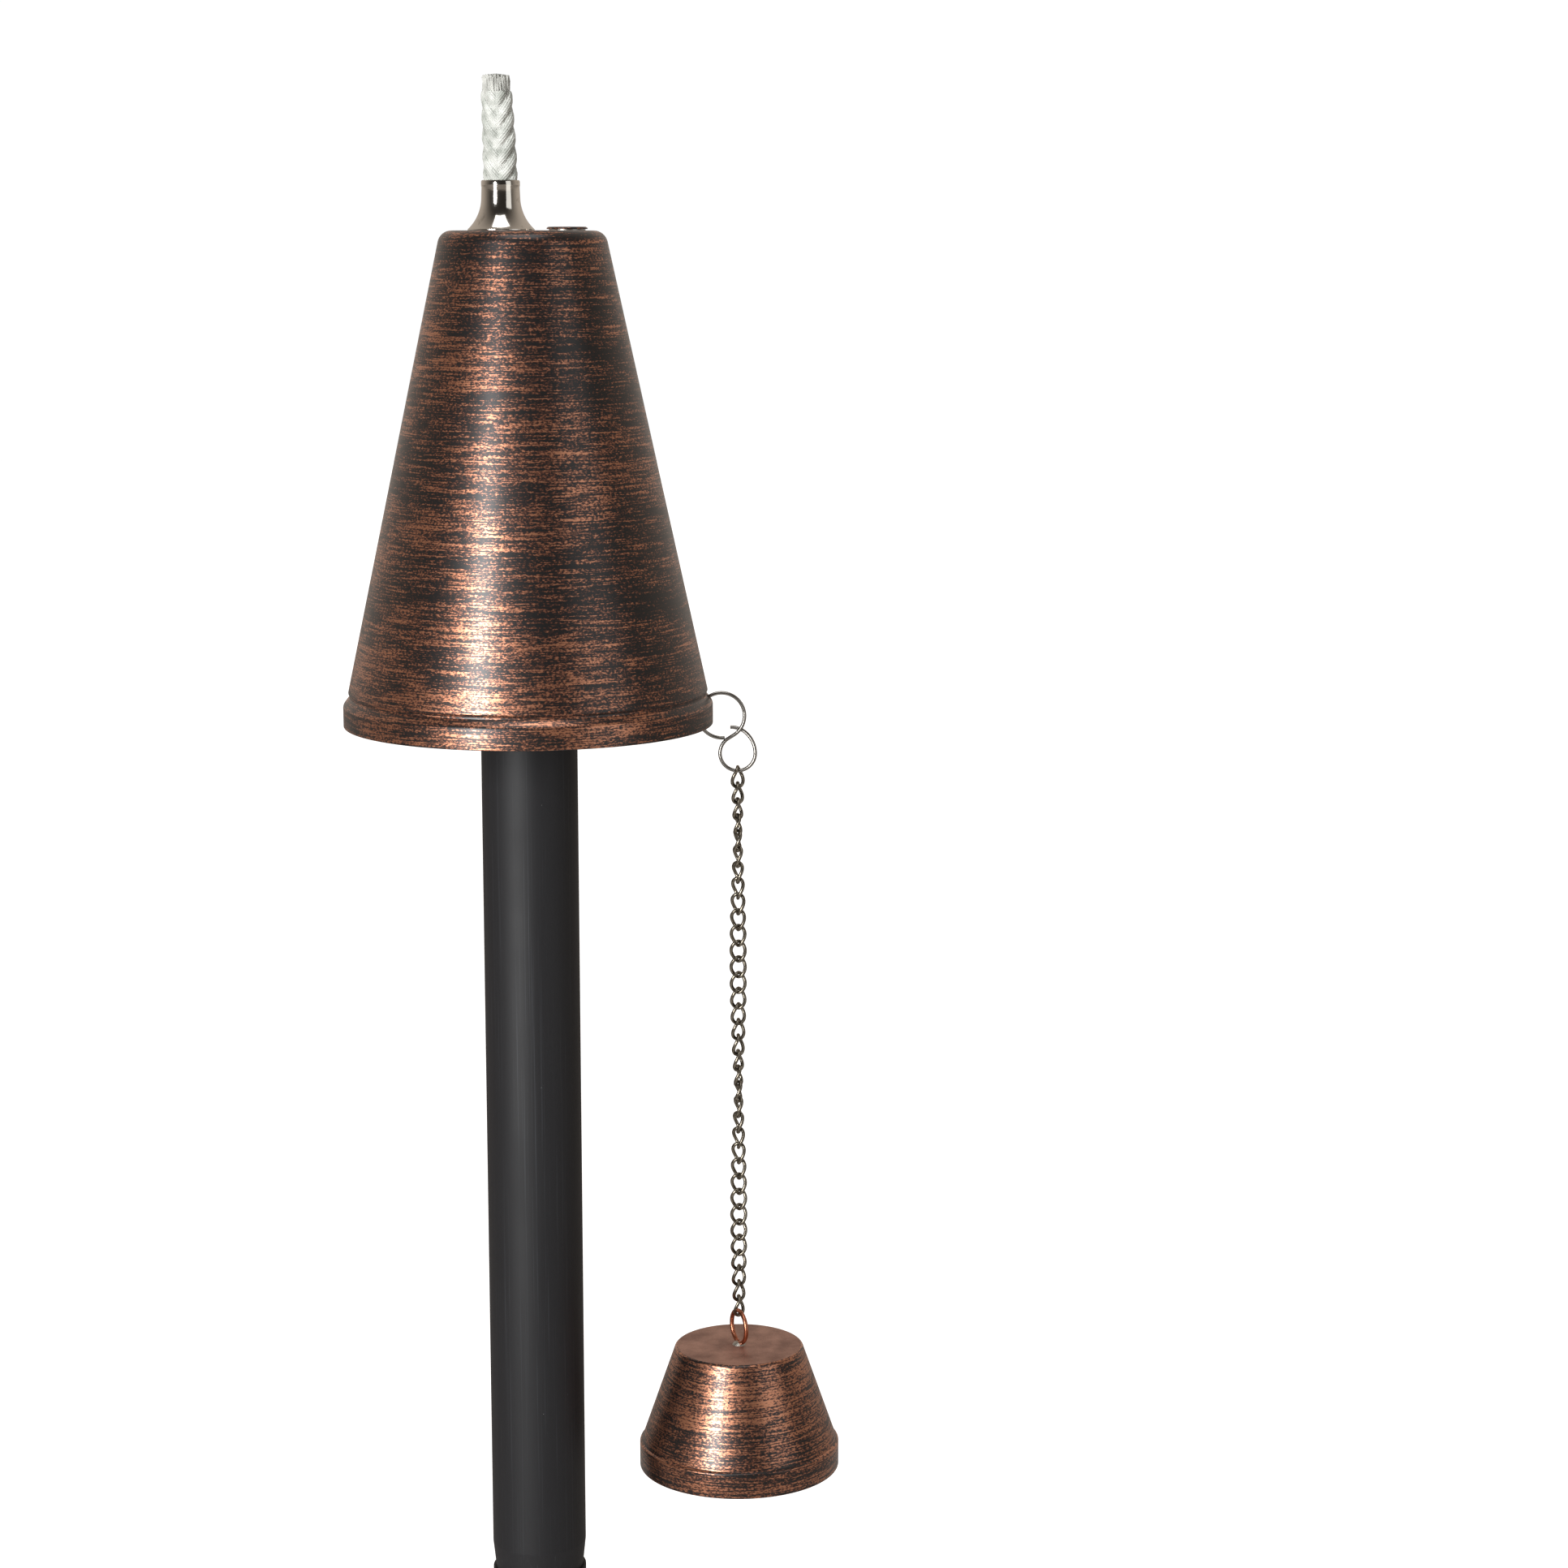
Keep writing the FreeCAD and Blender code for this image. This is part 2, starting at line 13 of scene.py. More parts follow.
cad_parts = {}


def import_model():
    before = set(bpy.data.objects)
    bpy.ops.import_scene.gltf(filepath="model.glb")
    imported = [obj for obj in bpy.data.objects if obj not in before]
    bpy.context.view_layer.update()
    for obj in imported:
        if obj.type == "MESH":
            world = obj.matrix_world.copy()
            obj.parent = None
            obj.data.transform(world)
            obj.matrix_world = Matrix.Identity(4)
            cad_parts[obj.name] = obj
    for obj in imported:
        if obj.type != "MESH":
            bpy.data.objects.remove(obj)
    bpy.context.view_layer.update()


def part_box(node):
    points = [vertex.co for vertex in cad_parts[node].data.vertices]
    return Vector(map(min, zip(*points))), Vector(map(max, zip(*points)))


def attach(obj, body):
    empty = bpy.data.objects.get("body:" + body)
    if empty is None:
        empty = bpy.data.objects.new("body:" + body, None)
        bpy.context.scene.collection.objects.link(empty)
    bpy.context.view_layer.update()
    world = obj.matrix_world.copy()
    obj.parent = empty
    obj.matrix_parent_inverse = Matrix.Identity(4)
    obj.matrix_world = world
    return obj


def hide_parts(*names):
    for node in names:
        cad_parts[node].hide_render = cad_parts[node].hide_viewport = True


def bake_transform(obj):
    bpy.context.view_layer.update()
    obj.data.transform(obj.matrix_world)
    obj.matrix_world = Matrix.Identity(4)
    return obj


MM = 0.001
TURN = 2.0 * math.pi
QUARTER_DEG = 90.0
LOG = logging.getLogger("torch")

Corner = tuple[float, float, float]
Profile = list[tuple[float, float]]


class Body(str, Enum):
    """The moving bodies that pieces ride on."""

    LOWER_POLE = "lower_pole"
    MIDDLE_POLE = "middle_pole"
    UPPER_POLE = "upper_pole"
    HEAD = "head"
    WICK = "wick"
    CAP = "cap"
    SNUFFER = "snuffer"


class Braid(Enum):
    """The two ways that a strand winds round the wick."""

    RIGHT = 1
    LEFT = -1


# ---------------------------------------------------------------- modelling


def deselect() -> None:
    """Leave edit mode and select nothing."""
    if bpy.context.mode != "OBJECT":
        bpy.ops.object.mode_set(mode="OBJECT")
    bpy.ops.object.select_all(action="DESELECT")


def pick(obj: bpy.types.Object) -> None:
    """Make an object the only selected one and the active one."""
    deselect()
    obj.select_set(True)
    bpy.context.view_layer.objects.active = obj


def settle(obj: bpy.types.Object, name: str, smooth_deg: float = 30.0) -> bpy.types.Object:
    """Name a piece, put its place into its mesh and shade it smooth.

    Args:
        obj: The finished piece.
        name: Its name.
        smooth_deg: Edges flatter than this are shaded smooth.

    Returns:
        The same piece.
    """
    pick(obj)
    bpy.ops.object.transform_apply(location=True, rotation=True, scale=True)
    bpy.ops.object.shade_smooth_by_angle(angle=math.radians(smooth_deg))
    obj.name = name
    obj.data.name = name
    return obj


def join(parts: Sequence[bpy.types.Object], name: str) -> bpy.types.Object:
    """Join several meshes into one piece.

    Args:
        parts: The meshes, the first of which is kept.
        name: The name of the joined piece.

    Returns:
        The joined piece.
    """
    pick(parts[0])
    for part in parts[1:]:
        part.select_set(True)
    bpy.ops.object.join()
    joined = bpy.context.object
    joined.name = name
    joined.data.name = name
    return joined


def copied(obj: bpy.types.Object, move: Matrix) -> bpy.types.Object:
    """Copy an object with a mesh of its own and move the copy's mesh.

    Args:
        obj: The object to copy.
        move: The transform that its mesh gets.

    Returns:
        The copy.
    """
    twin = obj.copy()
    twin.data = obj.data.copy()
    twin.data.transform(move)
    bpy.context.collection.objects.link(twin)
    return twin


def soften(corners: Sequence[Corner], steps: int = 5) -> Profile:
    """Round the corners of a profile.

    Args:
        corners: Radius, height and rounding of each corner, in millimetres.
        steps: Sides of each rounding.

    Returns:
        The profile's points, in millimetres.
    """
    points: Profile = []
    for index, (x, y, round_mm) in enumerate(corners):
        here = Vector((x, y))
        if round_mm <= 0.0 or index in (0, len(corners) - 1):
            points.append((x, y))
            continue
        back = Vector(corners[index - 1][:2]) - here
        ahead = Vector(corners[index + 1][:2]) - here
        angle = back.angle(ahead)
        reach = min(round_mm / math.tan(angle / 2), back.length * 0.48, ahead.length * 0.48)
        radius = reach * math.tan(angle / 2)
        centre = here + (back.normalized() + ahead.normalized()).normalized() * (
            radius / math.sin(angle / 2)
        )
        start = here + back.normalized() * reach - centre
        end = here + ahead.normalized() * reach - centre
        sweep = start.angle_signed(end)
        for step in range(steps + 1):
            turn = -sweep * step / steps
            leg = Matrix.Rotation(turn, 2) @ start
            points.append((centre.x + leg.x, centre.y + leg.y))
    return points


def spoke(turn: float, radius: float) -> Vector:
    """A point on an upright circle in the X-Z plane."""
    return Vector((math.cos(turn), 0.0, math.sin(turn))) * radius


def arc(start: tuple[float, float], end: tuple[float, float], radius: float,
        steps: int = 14) -> Profile:
    """Points of an arc whose centre lies to the right of the way from start to end.

    Args:
        start: The first point.
        end: The last point.
        radius: The arc's radius.
        steps: Sides of the arc.

    Returns:
        The arc's points, both ends included.
    """
    here, there = Vector(start), Vector(end)
    chord = there - here
    side = Vector((chord.y, -chord.x)).normalized()
    centre = (here + there) / 2 + side * math.sqrt(radius ** 2 - (chord.length / 2) ** 2)
    first, last = here - centre, there - centre
    sweep = -first.angle_signed(last)
    spun = [centre + Matrix.Rotation(sweep * k / steps, 2) @ first for k in range(steps + 1)]
    return [(point.x, point.y) for point in spun]


def lathe(name: str, profile: Profile, place: Vector, segments: int = 128,
          closed: bool = True) -> bpy.types.Object:
    """Turn a profile round an upright axis.

    Args:
        name: The piece's name.
        profile: Radius and height of each point, in millimetres.
        place: The point, in metres, that heights and the axis start from.
        segments: Sides round the axis.
        closed: Whether the last point joins the first. An open profile's ends
            are closed with flat discs.

    Returns:
        The turned piece.
    """
    points = list(profile) + [profile[0]] if closed else list(profile)
    radius, height = points[0]
    deselect()
    bpy.ops.mesh.primitive_circle_add(
        vertices=segments, radius=radius * MM, fill_type="NOTHING" if closed else "TRIFAN",
        location=(place.x, place.y, place.z + height * MM),
    )
    obj = bpy.context.object
    bpy.ops.object.mode_set(mode="EDIT")
    bpy.ops.mesh.select_mode(type="EDGE")
    bpy.ops.mesh.select_all(action="SELECT")
    if not closed:
        bpy.ops.mesh.select_all(action="DESELECT")
        bpy.ops.mesh.select_non_manifold()
    for next_radius, next_height in points[1:]:
        rise = (next_height - height) * MM
        bpy.ops.mesh.extrude_region_move(TRANSFORM_OT_translate={"value": (0.0, 0.0, rise)})
        grow = next_radius / radius
        middle = (place.x, place.y, place.z + next_height * MM)
        bpy.ops.transform.resize(value=(grow, grow, 1.0), center_override=middle)
        radius, height = next_radius, next_height
    if not closed:
        bpy.ops.mesh.extrude_region_move(TRANSFORM_OT_translate={"value": (0.0, 0.0, 0.0)})
        bpy.ops.mesh.merge(type="CENTER")
    bpy.ops.mesh.select_all(action="SELECT")
    bpy.ops.mesh.remove_doubles(threshold=4e-6)
    bpy.ops.mesh.normals_make_consistent(inside=False)
    bpy.ops.object.mode_set(mode="OBJECT")
    return settle(obj, name)


def drill(obj: bpy.types.Object, radius_mm: float, middle: Vector, along: Vector,
          depth_mm: float) -> None:
    """Cut a round hole through a piece.

    Args:
        obj: The piece.
        radius_mm: The hole's radius.
        middle: The middle of the drill, in metres.
        along: The direction of the hole.
        depth_mm: The drill's length.
    """
    deselect()
    bpy.ops.mesh.primitive_cylinder_add(
        vertices=64, radius=radius_mm * MM, depth=depth_mm * MM, location=middle,
        rotation=along.to_track_quat("Z", "Y").to_euler(),
    )
    tool = bpy.context.object
    pick(obj)
    cut = obj.modifiers.new("hole", "BOOLEAN")
    cut.operation = "DIFFERENCE"
    cut.solver = "EXACT"
    cut.object = tool
    bpy.ops.object.modifier_apply(modifier="hole")
    bpy.data.objects.remove(tool)


def bend_wires(name: str, lines: Sequence[Sequence[Vector]], radius: float,
               cyclic: bool = False, sides: int = 3) -> bpy.types.Object:
    """Sweep round wire along one or more lines.

    Args:
        name: The piece's name.
        lines: The line of each wire's centre, in metres.
        radius: The wire's radius, in metres.
        cyclic: Whether each wire's ends meet.
        sides: The bevel resolution of the round section.

    Returns:
        The wires as one mesh.
    """
    deselect()
    bpy.ops.curve.primitive_nurbs_path_add(location=(0.0, 0.0, 0.0))
    curve = bpy.context.object.data
    curve.splines.clear()
    for line in lines:
        spline = curve.splines.new("POLY")
        spline.points.add(len(line) - 1)
        for point, place in zip(spline.points, line):
            point.co = (*place, 1.0)
        spline.use_cyclic_u = cyclic
    curve.bevel_depth = radius
    curve.bevel_resolution = sides
    curve.use_fill_caps = not cyclic
    bpy.ops.object.convert(target="MESH")
    made = bpy.context.object
    bpy.ops.object.mode_set(mode="EDIT")
    bpy.ops.mesh.select_all(action="SELECT")
    bpy.ops.mesh.normals_make_consistent(inside=False)
    bpy.ops.object.mode_set(mode="OBJECT")
    return settle(made, name, 50.0)


# ---------------------------------------------------------------- finishes


def linear(code: str) -> tuple[float, float, float, float]:
    """Turn an sRGB hex colour into linear light.

    Args:
        code: The colour as "#rrggbb".

    Returns:
        Linear red, green, blue and an alpha of one.
    """
    values = [int(code[k:k + 2], 16) / 255.0 for k in (1, 3, 5)]
    low = [v / 12.92 if v <= 0.04045 else ((v + 0.055) / 1.055) ** 2.4 for v in values]
    return (low[0], low[1], low[2], 1.0)


def add(tree: bpy.types.NodeTree, kind: str, values: dict[Any, Any] | None = None,
        links: dict[Any, Any] | None = None, stops: dict[float, str] | None = None,
        **settings: Any) -> bpy.types.Node:
    """Add a node with its settings and links.

    Args:
        tree: The node tree.
        kind: The node's type.
        values: Values of unlinked inputs.
        links: Outputs that feed inputs.
        stops: Colours by position, for a ramp.
        settings: The node's own properties.

    Returns:
        The new node.
    """
    node = tree.nodes.new(kind)
    for key, value in settings.items():
        setattr(node, key, value)
    for key, value in (values or {}).items():
        node.inputs[key].default_value = value
    for key, source in (links or {}).items():
        tree.links.new(source, node.inputs[key])
    if stops:
        elements = node.color_ramp.elements
        while len(elements) < len(stops):
            elements.new(0.5)
        for element, (place, code) in zip(elements, sorted(stops.items())):
            element.position = place
            element.color = linear(code)
    return node


def new_material(name: str) -> tuple[bpy.types.Material, bpy.types.NodeTree, bpy.types.Node]:
    """Make a material with an empty tree, an output and a principled shader.

    Args:
        name: The material's name.

    Returns:
        The material, its tree and its shader.
    """
    material = bpy.data.materials.new(name)
    material.use_nodes = True
    tree = material.node_tree
    tree.nodes.clear()
    shader = add(tree, "ShaderNodeBsdfPrincipled")
    add(tree, "ShaderNodeOutputMaterial", links={"Surface": shader.outputs["BSDF"]})
    return material, tree, shader


@dataclass(frozen=True)
class SpunCopper:
    """Copper plate rubbed through a dark lacquer while the part spins on a lathe.

    The eye sees level rub marks, broad darker and brighter bands, a fine
    pitted speckle where lacquer stays in the low spots, and a satin gloss
    that spreads into a soft upright glow.
    """

    name: str = "copper rubbed through dark lacquer"
    axis_x: float = 0.0
    hair_mm: float = 0.40
    hair_long_mm: float = 11.0
    streak_mm: float = 1.1
    streak_long_mm: float = 30.0
    band_mm: float = 15.0
    speckle_mm: float = 0.50
    bare: float = 0.47
    seed: float = 0.0

    def streaks(self, tree: bpy.types.NodeTree, place: bpy.types.NodeSocket, long_mm: float,
                tall_mm: float, detail: float) -> bpy.types.NodeSocket:
        """Add noise that is stretched round the axis.

        Args:
            tree: The node tree.
            place: The object position.
            long_mm: The marks' length round the part.
            tall_mm: The marks' height.
            detail: Octaves of noise.

        Returns:
            The noise.
        """
        level = 1.0 / (long_mm * MM)
        scale = (level, level, 1.0 / (tall_mm * MM))
        shift = (self.seed - self.axis_x * level, self.seed, self.seed)
        mapped = add(tree, "ShaderNodeMapping", {"Location": shift, "Scale": scale},
                     {"Vector": place})
        noise = add(tree, "ShaderNodeTexNoise",
                    {"Scale": 1.0, "Detail": detail, "Roughness": 0.6},
                    {"Vector": mapped.outputs["Vector"]})
        return noise.outputs["Fac"]

    def build(self) -> bpy.types.Material:
        """Build the material."""
        material, tree, shader = new_material(self.name)
        place = add(tree, "ShaderNodeTexCoord").outputs["Object"]
        hair = self.streaks(tree, place, self.hair_long_mm, self.hair_mm, 4.0)
        streak = self.streaks(tree, place, self.streak_long_mm, self.streak_mm, 4.0)
        band = self.streaks(tree, place, self.band_mm * 6.0, self.band_mm, 3.0)
        patch = self.streaks(tree, place, 22.0, 6.0, 5.0)
        speckle = self.streaks(tree, place, self.speckle_mm * 1.8, self.speckle_mm, 3.0)

        total = add(tree, "ShaderNodeMath", {1: 0.60}, {0: hair}, operation="MULTIPLY")
        for share, source in ((0.34, streak), (0.26, band), (0.16, patch), (0.66, speckle)):
            total = add(tree, "ShaderNodeMath", {1: share}, {0: source, 2: total.outputs[0]},
                        operation="MULTIPLY_ADD")
        middle = 1.01 + 0.5 * (0.5 - self.bare)
        bared = add(tree, "ShaderNodeMapRange",
                    {"From Min": middle - 0.08, "From Max": middle + 0.11},
                    {"Value": total.outputs[0]})
        colour = add(tree, "ShaderNodeValToRGB", links={"Fac": bared.outputs[0]},
                     stops={0.0: "#0a0808", 0.26: "#1a1211", 0.5: "#54352a",
                            0.74: "#935f47", 1.0: "#cc8c6a"})
        metal = add(tree, "ShaderNodeMapRange", {"To Min": 0.55, "To Max": 1.0},
                    {"Value": bared.outputs[0]})
        gloss = add(tree, "ShaderNodeMapRange", {"To Min": 0.46, "To Max": 0.36},
                    {"Value": bared.outputs[0]})
        relief = add(tree, "ShaderNodeMath", {1: 0.8}, {0: speckle, 2: hair},
                     operation="MULTIPLY_ADD")
        bump = add(tree, "ShaderNodeBump", {"Strength": 0.5, "Distance": 0.0001},
                   {"Height": relief.outputs[0]})
        shader.inputs["Coat Weight"].default_value = 0.7
        shader.inputs["Coat Roughness"].default_value = 0.3
        tree.links.new(colour.outputs["Color"], shader.inputs["Base Color"])
        tree.links.new(metal.outputs[0], shader.inputs["Metallic"])
        tree.links.new(gloss.outputs[0], shader.inputs["Roughness"])
        tree.links.new(bump.outputs["Normal"], shader.inputs["Normal"])
        return material


@dataclass(frozen=True)
class PlainCopperPaintedTopLight:
    """Plain satin copper-brown for the faces that look straight up, kept lighter as painted light
    falling on the top.

    The eye sees a plain satin brown with a fine metallic grain.
    """

    name: str = "plain copper brown with painted top light"
    # painted light: this light colour stands in for the light that falls on the lid's top
    colour: str = "#b98f7e"
    dark: str = "#8a6658"
    grain_mm: float = 0.35

    def build(self) -> bpy.types.Material:
        """Build the material."""
        material, tree, shader = new_material(self.name)
        place = add(tree, "ShaderNodeTexCoord").outputs["Object"]
        grain = add(tree, "ShaderNodeTexNoise",
                    {"Scale": 1.0 / (self.grain_mm * MM), "Detail": 3.0, "Roughness": 0.7},
                    {"Vector": place})
        cloud = add(tree, "ShaderNodeTexNoise", {"Scale": 140.0, "Detail": 4.0},
                    {"Vector": place})
        mixed = add(tree, "ShaderNodeMath", {1: 0.6},
                    {0: grain.outputs["Fac"], 2: cloud.outputs["Fac"]}, operation="MULTIPLY_ADD")
        share = add(tree, "ShaderNodeMapRange", {"From Min": 0.6, "From Max": 1.0},
                    {"Value": mixed.outputs[0]})
        base = add(tree, "ShaderNodeMix", {6: linear(self.dark), 7: linear(self.colour)},
                   {"Factor": share.outputs[0]}, data_type="RGBA")
        bump = add(tree, "ShaderNodeBump", {"Strength": 0.3, "Distance": 0.00005},
                   {"Height": grain.outputs["Fac"]})
        shader.inputs["Metallic"].default_value = 0.75
        shader.inputs["Roughness"].default_value = 0.5
        tree.links.new(base.outputs[2], shader.inputs["Base Color"])
        tree.links.new(bump.outputs["Normal"], shader.inputs["Normal"])
        return material


@dataclass(frozen=True)
class PowderCoat:
    """Satin black powder coat on drawn steel tube.

    The eye sees a faint orange peel, thin lengthways rubs from sleeves and
    packing, and a few pale chips.
    """

    name: str = "satin black powder coat"
    colour: str = "#18181b"
    peel_mm: float = 1.1
    rub_mm: float = 0.5

    def build(self) -> bpy.types.Material:
        """Build the material."""
        material, tree, shader = new_material(self.name)
        place = add(tree, "ShaderNodeTexCoord").outputs["Object"]
        peel = add(tree, "ShaderNodeTexNoise",
                   {"Scale": 1.0 / (self.peel_mm * MM), "Detail": 2.0}, {"Vector": place})
        rub_scale = 1.0 / (self.rub_mm * MM)
        lengthways = add(tree, "ShaderNodeMapping", {"Scale": (rub_scale, rub_scale, 9.0)},
                         {"Vector": place})
        rub = add(tree, "ShaderNodeTexNoise",
                  {"Scale": 1.0, "Detail": 3.0, "Roughness": 0.7},
                  {"Vector": lengthways.outputs["Vector"]})
        rubbed = add(tree, "ShaderNodeMapRange", {"From Min": 0.58, "From Max": 0.78},
                     {"Value": rub.outputs["Fac"]})
        cloud = add(tree, "ShaderNodeTexNoise", {"Scale": 35.0, "Detail": 4.0},
                    {"Vector": place})
        chips = add(tree, "ShaderNodeTexNoise",
                    {"Scale": 420.0, "Detail": 5.0, "Roughness": 0.75}, {"Vector": place})
        chip = add(tree, "ShaderNodeMapRange", {"From Min": 0.735, "From Max": 0.76},
                   {"Value": chips.outputs["Fac"]})
        base = add(tree, "ShaderNodeMix", {6: linear(self.colour), 7: linear("#34363a")},
                   {"Factor": rubbed.outputs[0]}, data_type="RGBA")
        marked = add(tree, "ShaderNodeMix", {7: linear("#8d8f90")},
                     {"Factor": chip.outputs[0], 6: base.outputs[2]}, data_type="RGBA")
        gloss = add(tree, "ShaderNodeMapRange", {"To Min": 0.50, "To Max": 0.66},
                    {"Value": cloud.outputs["Fac"]})
        height = add(tree, "ShaderNodeMath", {1: -0.8},
                     {0: chip.outputs[0], 2: peel.outputs["Fac"]}, operation="MULTIPLY_ADD")
        bump = add(tree, "ShaderNodeBump", {"Strength": 0.25, "Distance": 0.00005},
                   {"Height": height.outputs[0]})
        shader.inputs["Specular IOR Level"].default_value = 0.4
        tree.links.new(marked.outputs[2], shader.inputs["Base Color"])
        tree.links.new(gloss.outputs[0], shader.inputs["Roughness"])
        tree.links.new(bump.outputs["Normal"], shader.inputs["Normal"])
        return material


@dataclass(frozen=True)
class PlatedMetal:
    """A plated metal with turning lines or drawing marks and patches of patina.

    The eye sees a bright or dulled metal whose gloss changes over a few
    millimetres, with patches of darker stain. A count of teeth cuts that many
    fine upright teeth round the axis at teeth_x, below the height teeth_top.
    """

    name: str
    colour: str
    stain: str
    gloss: float
    line_mm: float = 0.25
    stain_mm: float = 4.0
    stained: float = 0.4
    relief: float = 0.12
    teeth: int = 0
    teeth_x: float = 0.0
    teeth_top: float = 0.0

    def build(self) -> bpy.types.Material:
        """Build the material."""
        material, tree, shader = new_material(self.name)
        place = add(tree, "ShaderNodeTexCoord").outputs["Object"]
        lines = add(tree, "ShaderNodeMapping",
                    {"Scale": (120.0, 120.0, 1.0 / (self.line_mm * MM))}, {"Vector": place})
        drawn = add(tree, "ShaderNodeTexNoise", {"Scale": 1.0, "Detail": 3.0},
                    {"Vector": lines.outputs["Vector"]})
        patch = add(tree, "ShaderNodeTexNoise",
                    {"Scale": 1.0 / (self.stain_mm * MM), "Detail": 6.0, "Roughness": 0.65},
                    {"Vector": place})
        stained = add(tree, "ShaderNodeMapRange",
                      {"From Min": 0.72 - 0.4 * self.stained, "From Max": 0.82,
                       "To Max": 0.9}, {"Value": patch.outputs["Fac"]})
        base = add(tree, "ShaderNodeMix", {6: linear(self.colour), 7: linear(self.stain)},
                   {"Factor": stained.outputs[0]}, data_type="RGBA")
        rough = add(tree, "ShaderNodeMapRange",
                    {"To Min": self.gloss * 0.7, "To Max": self.gloss * 1.5},
                    {"Value": patch.outputs["Fac"]})
        height = drawn.outputs["Fac"]
        if self.teeth:
            centred = add(tree, "ShaderNodeMapping", {"Location": (-self.teeth_x, 0.0, 0.0)},
                          {"Vector": place})
            around = add(tree, "ShaderNodeTexGradient", None,
                         {"Vector": centred.outputs["Vector"]}, gradient_type="RADIAL")
            count = add(tree, "ShaderNodeMath", {1: float(self.teeth)},
                        {0: around.outputs["Fac"]}, operation="MULTIPLY")
            tooth = add(tree, "ShaderNodeMath", {1: 0.5}, {0: count.outputs[0]},
                        operation="PINGPONG")
            split = add(tree, "ShaderNodeSeparateXYZ", None, {"Vector": place})
            low = add(tree, "ShaderNodeMapRange",
                      {"From Min": self.teeth_top, "From Max": self.teeth_top - 0.0004},
                      {"Value": split.outputs["Z"]})
            cut = add(tree, "ShaderNodeMath", None,
                      {0: tooth.outputs[0], 1: low.outputs[0]}, operation="MULTIPLY")
            sharp = add(tree, "ShaderNodeMath", {1: 14.0},
                        {0: cut.outputs[0], 2: height}, operation="MULTIPLY_ADD")
            height = sharp.outputs[0]
        bump = add(tree, "ShaderNodeBump", {"Strength": self.relief, "Distance": 0.00003},
                   {"Height": height})
        shader.inputs["Metallic"].default_value = 1.0
        tree.links.new(base.outputs[2], shader.inputs["Base Color"])
        tree.links.new(rough.outputs[0], shader.inputs["Roughness"])
        tree.links.new(bump.outputs["Normal"], shader.inputs["Normal"])
        return material


@dataclass(frozen=True)
class GlassFibre:
    """White glass-fibre yarn, plaited or loose.

    The eye sees silvery fibres with greyer patches, a soft sheen and no sharp
    gloss.
    """

    name: str = "plaited glass-fibre yarn"
    colour: str = "#e6e8e3"
    shade: str = "#a2a79f"
    fibre_mm: float = 0.18

    def build(self) -> bpy.types.Material:
        """Build the material."""
        material, tree, shader = new_material(self.name)
        place = add(tree, "ShaderNodeTexCoord")
        along = add(tree, "ShaderNodeMapping", {"Scale": (9000.0, 9000.0, 2200.0)},
                    {"Vector": place.outputs["Object"]})
        fibre = add(tree, "ShaderNodeTexNoise", {"Scale": 1.0, "Detail": 5.0},
                    {"Vector": along.outputs["Vector"]})
        fuzz = add(tree, "ShaderNodeTexNoise",
                   {"Scale": 1.0 / (self.fibre_mm * MM), "Detail": 4.0, "Roughness": 0.7},
                   {"Vector": place.outputs["Object"]})
        patch = add(tree, "ShaderNodeTexNoise", {"Scale": 260.0, "Detail": 3.0},
                    {"Vector": place.outputs["Object"]})
        mixed = add(tree, "ShaderNodeMath", {1: 0.5},
                    {0: fuzz.outputs["Fac"], 2: patch.outputs["Fac"]}, operation="MULTIPLY_ADD")
        share = add(tree, "ShaderNodeMapRange", {"From Min": 0.55, "From Max": 0.95},
                    {"Value": mixed.outputs[0]})
        base = add(tree, "ShaderNodeMix", {6: linear(self.shade), 7: linear(self.colour)},
                   {"Factor": share.outputs[0]}, data_type="RGBA")
        height = add(tree, "ShaderNodeMath", {1: 0.6},
                     {0: fuzz.outputs["Fac"], 2: fibre.outputs["Fac"]},
                     operation="MULTIPLY_ADD")
        bump = add(tree, "ShaderNodeBump", {"Strength": 0.6, "Distance": 0.00012},
                   {"Height": height.outputs[0]})
        shader.inputs["Roughness"].default_value = 0.62
        shader.inputs["Sheen Weight"].default_value = 0.3
        shader.inputs["Sheen Roughness"].default_value = 0.4
        tree.links.new(base.outputs[2], shader.inputs["Base Color"])
        tree.links.new(bump.outputs["Normal"], shader.inputs["Normal"])
        return material


@dataclass(frozen=True)
class MouldedPolymer:
    """Moulded plastic, pressed rubber or stove enamel with a fine grain.

    The eye sees a matte dark body with a slight mottle and soft highlights.
    """

    name: str
    colour: str
    rough: float = 0.55
    grain_mm: float = 0.35

    def build(self) -> bpy.types.Material:
        """Build the material."""
        material, tree, shader = new_material(self.name)
        place = add(tree, "ShaderNodeTexCoord").outputs["Object"]
        grain = add(tree, "ShaderNodeTexNoise",
                    {"Scale": 1.0 / (self.grain_mm * MM), "Detail": 3.0}, {"Vector": place})
        cloud = add(tree, "ShaderNodeTexNoise", {"Scale": 60.0, "Detail": 4.0},
                    {"Vector": place})
        base = add(tree, "ShaderNodeMix", {6: linear(self.colour), 7: linear("#3a3a3b")},
                   {"Factor": cloud.outputs["Fac"]}, data_type="RGBA")
        gloss = add(tree, "ShaderNodeMapRange",
                    {"To Min": self.rough - 0.08, "To Max": self.rough + 0.12},
                    {"Value": cloud.outputs["Fac"]})
        bump = add(tree, "ShaderNodeBump", {"Strength": 0.3, "Distance": 0.00006},
                   {"Height": grain.outputs["Fac"]})
        tree.links.new(base.outputs[2], shader.inputs["Base Color"])
        tree.links.new(gloss.outputs[0], shader.inputs["Roughness"])
        tree.links.new(bump.outputs["Normal"], shader.inputs["Normal"])
        return material


